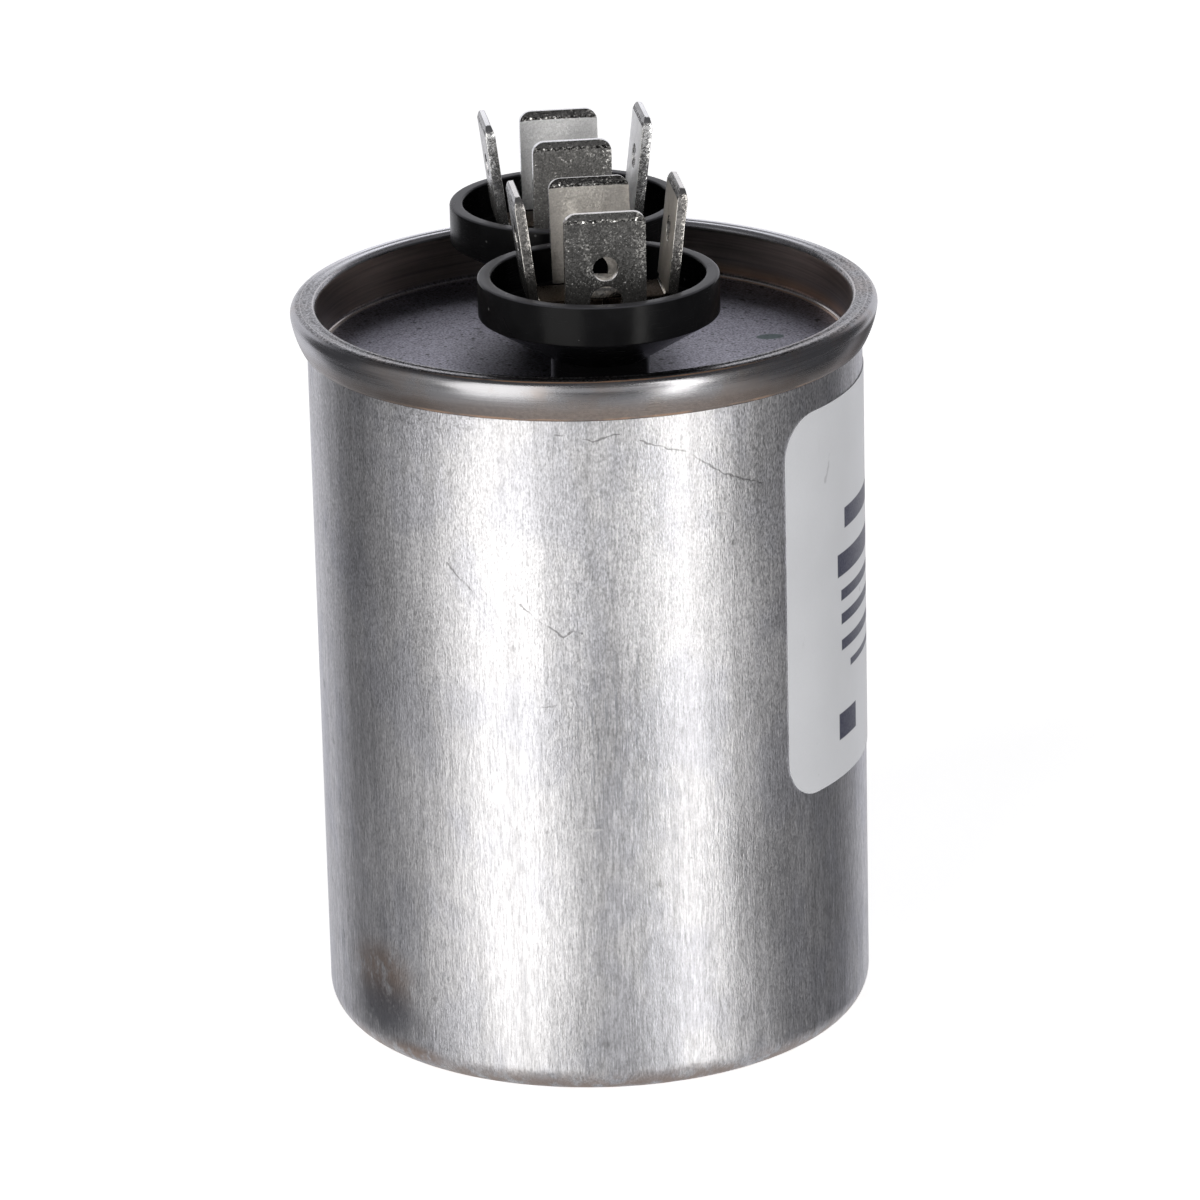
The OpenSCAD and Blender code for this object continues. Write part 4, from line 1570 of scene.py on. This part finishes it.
INSIDE = Inside(
    {
        COMPOUND: ("seam_seal",),
        RUBBER: ("front_seal_washer", "rear_seal_washer"),
        INSULATOR: ("front_inner_insulator", "rear_inner_insulator"),
        BRASS: ("front_lug", "rear_lug"),
        BOARD: ("interrupter_disc",),
        LEAD: ("top_lead", "bottom_lead"),
        FILM: ("winding",),
        CORE: ("core_tube",),
        SPRAY: ("top_end_spray", "bottom_end_spray"),
        SLEEVE: ("insulating_sleeve", "bottom_insulator"),
    }
)


@dataclass(frozen=True)
class Softbox:
    """Flat studio light that stands upright and faces the part, given by the angles that it fills."""

    name: str
    polar: float
    spread: float
    low: float
    high: float
    radiance: float
    tint: Colour = (1.0, 1.0, 1.0)
    distance: float = 3.0

    def build(self) -> None:
        """Hangs the light at its place round the part."""
        low, high = (self.distance * math.tan(math.radians(angle)) for angle in (self.low, self.high))
        data = bpy.data.lights.new(self.name, "AREA")
        data.shape = "RECTANGLE"
        data.color = self.tint
        data.size = 2 * self.distance * math.tan(math.radians(self.spread / 2))
        data.size_y = high - low
        data.energy = self.radiance * math.pi * data.size * data.size_y
        lamp = bpy.data.objects.new(self.name, data)
        turn = math.radians(self.polar)
        away = Vector((math.cos(turn), math.sin(turn), 0))
        lamp.location = away * self.distance + Vector((0, 0, (low + high) / 2))
        lamp.rotation_euler = away.to_track_quat("Z", "Y").to_euler()
        bpy.context.scene.collection.objects.link(lamp)


@dataclass
class Studio:
    """Pale floor, soft lights and the camera at the photograph's place."""

    softboxes: tuple[Softbox, ...]
    surround: Colour = (0.075, 0.075, 0.08)
    floor_tone: Colour = (0.92, 0.92, 0.92)
    floor_cloud: Pattern = Pattern(0.004, 0.004)
    floor_rough: float = 0.9
    floor_glow: float = 0.82
    floor_size: float = 4.0
    floor_cuts: int = 7
    floor_drop: float = 0.02
    bounce_glow: float = 0.4
    bounce_size: float = 2.2
    bounce_depth: float = 0.9
    azimuth: float = -6.5
    distance: float = 519.18
    height: float = 217.05
    yaw: float = 0.0014
    pitch: float = 0.3386
    roll: float = -0.0242
    focal_px: float = 6780.7
    image_px: float = 1200.0
    sensor: float = 36.0
    near_clip: float = 0.01

    def build(self) -> None:
        """Sets up the whole studio."""
        self.floor()
        world = bpy.data.worlds.new("surround")
        world.use_nodes = True
        world.node_tree.nodes["Background"].inputs["Color"].default_value = (*self.surround, 1.0)
        bpy.context.scene.world = world
        for softbox in self.softboxes:
            softbox.build()
        self.bounce()
        self.camera()
        bpy.context.scene.view_settings.view_transform = "Standard"

    def floor(self) -> None:
        """Lays a pale floor that stays out of the metal's reflections, as a small table does."""
        floor = Bench.start("floor")
        bpy.ops.transform.resize(value=(self.floor_size, self.floor_size, 1))
        bpy.ops.mesh.subdivide(number_cuts=self.floor_cuts)
        Bench.move(z=-self.floor_drop)
        bpy.ops.object.mode_set(mode="OBJECT")
        g = Graph("pale_floor")
        white = g.shade(self.floor_tone, g.fit(g.noise(self.floor_cloud), 0.98, 1.02))
        glow = self.floor_glow
        g.set(base_color=white, roughness=self.floor_rough, emission_color=white, emission_strength=glow)
        dress(floor, g.material)
        floor.visible_glossy = False
        floor.visible_shadow = False

    def bounce(self) -> None:
        """Lights the part from below, as the bright table round it does."""
        data = bpy.data.lights.new("table_bounce", "AREA")
        data.size = self.bounce_size
        data.energy = self.bounce_glow * math.pi * self.bounce_size**2
        lamp = bpy.data.objects.new("table_bounce", data)
        lamp.location = (0, 0, -self.bounce_depth)
        lamp.rotation_euler = (math.pi, 0, 0)
        bpy.context.scene.collection.objects.link(lamp)

    def camera(self) -> None:
        """Places the camera from the fitted pose, turned to the part's own frame."""
        data = bpy.data.cameras.new("camera")
        data.sensor_width = self.sensor
        data.lens = self.focal_px / self.image_px * self.sensor
        data.clip_start = self.near_clip
        camera = bpy.data.objects.new("camera", data)
        forward = Vector(
            (
                math.sin(self.yaw) * math.cos(self.pitch),
                math.cos(self.yaw) * math.cos(self.pitch),
                -math.sin(self.pitch),
            )
        )
        right = Vector((math.cos(self.yaw), -math.sin(self.yaw), 0.0))
        up = right.cross(forward)
        side = right * math.cos(self.roll) + up * math.sin(self.roll)
        above = up * math.cos(self.roll) - right * math.sin(self.roll)
        pose = Matrix((side, above, -forward)).transposed().to_4x4()
        pose.translation = Vector((0, -self.distance, self.height)) * MM
        camera.matrix_world = Matrix.Rotation(math.radians(self.azimuth), 4, "Z") @ pose
        bpy.context.scene.collection.objects.link(camera)
        bpy.context.scene.camera = camera


WARM: Colour = (1.0, 0.985, 0.955)
COOL: Colour = (0.985, 0.985, 1.03)

STUDIO = Studio(
    softboxes=(
        Softbox("left_box", -132.0, 38.0, -40.0, 52.0, 2.0, WARM),
        Softbox("right_box", -57.5, 12.0, -40.0, 52.0, 4.4, WARM),
        Softbox("front_fill", -90.0, 46.0, -15.0, 30.0, 0.36),
        Softbox("left_fill", -174.0, 30.0, -40.0, 52.0, 0.2),
        Softbox("backdrop", 85.5, 87.0, -40.0, 34.0, 0.82, COOL),
    )
)


@dataclass(frozen=True)
class PaintedBladeLight:
    """Painted brightening of a terminal's blades and the share of its inner faces' light that is scattered.
    """

    light_gain: float = 1.0
    haze: float = 0.0


# The rear terminal's blades are painted brighter.
PAINTED_BLADE_LIGHT: dict[Terminal, PaintedBladeLight] = {Terminal.FRONT: PaintedBladeLight(), Terminal.REAR: PaintedBladeLight(light_gain=2.8, haze=0.4)}
BRIGHTEST = 0.97
DULL_FACES = (Face.TIP, Face.STRIP, Face.GLINT)
RIVET_TIN = TinPlate("rivet_tin", (0.55, 0.53, 0.5), roughness=0.3, contrast=0.25)
# Copies of one tin plating lit and shaded by face: outer faces, tips and strips painted dark, inner faces
# painted light, edges and the chamfer's glints painted as highlights.
TIN_AS_LIT: dict[Face, TinPlate] = {
    Face.OUTER: TinPlate(
        "tin_outer", (0.12, 0.118, 0.115), roughness=0.22, contrast=0.5, tilt=0.16, metallic=0.62,
        fleck_share=0.5, fleck_cells=8.0,
    ),
    Face.INNER: TinPlate("tin_inner", (0.66, 0.63, 0.59), roughness=0.42, contrast=0.16, tilt=0.08),
    Face.EDGE: TinPlate("tin_edge", (0.8, 0.78, 0.75), roughness=0.2, contrast=0.1, tilt=0.04),
    Face.TIP: TinPlate(
        "tin_tip", (0.15, 0.147, 0.143), roughness=0.17, contrast=0.35, tilt=0.12, metallic=0.92
    ),
    Face.STRIP: TinPlate(
        "tin_strip", (0.07, 0.056, 0.044), roughness=0.3, contrast=0.2, tilt=0.08, fleck_share=0.2,
        grazing=0.45,
    ),
    Face.GLINT: TinPlate(
        "tin_glint", (0.12, 0.118, 0.115), roughness=0.27, contrast=0.97, tilt=0.5, fleck_share=0.97,
        fleck_cells=3.2,
    ),
    Face.CUT: TinPlate(
        "tin_cut", (0.4, 0.385, 0.37), roughness=0.24, contrast=0.16, tilt=0.1, metallic=0.95,
        fleck_share=0.2, fleck_cells=8.0,
    ),
}


def tin_plates(terminal: Terminal) -> list[bpy.types.Material]:
    """Makes the finishes of a terminal's blades, in the order of their face slots, with the rear's painted
    brighter.

    Args:
        terminal: terminal that the blades stand on.

    Returns:
        The materials.
    """
    painted_light = PAINTED_BLADE_LIGHT[terminal]
    materials = []
    for face, plate in TIN_AS_LIT.items():
        gain = 1.0 if face in DULL_FACES else painted_light.light_gain
        tone = tuple(min(BRIGHTEST, part * gain) for part in plate.tone)
        metallic = 1.0 - painted_light.haze if face is Face.INNER else plate.metallic
        name = f"{terminal.label}_{plate.name}"
        materials.append(replace(plate, name=name, tone=tone, metallic=metallic).material())
    return materials


def main() -> None:
    """Builds the pieces in order, then the studio."""
    logging.basicConfig(level=logging.INFO, format="%(name)s %(message)s")
    Can().build(DrawnAluminium())
    Cover().build(CoverSteel())
    TerminalCup().build(MouldedPlastic())
    for terminal in Terminal:
        tin = tin_plates(terminal)
        BladePair(terminal, Pair.LOWER, FRONT_BENT if terminal is Terminal.FRONT else None).build(tin)
        BladePair(terminal, Pair.UPPER).build(tin)
    Rivet().build(RIVET_TIN)
    Label().build(LabelPaper())
    INSIDE.build()
    STUDIO.build()


if __name__ == "__main__":
    main()
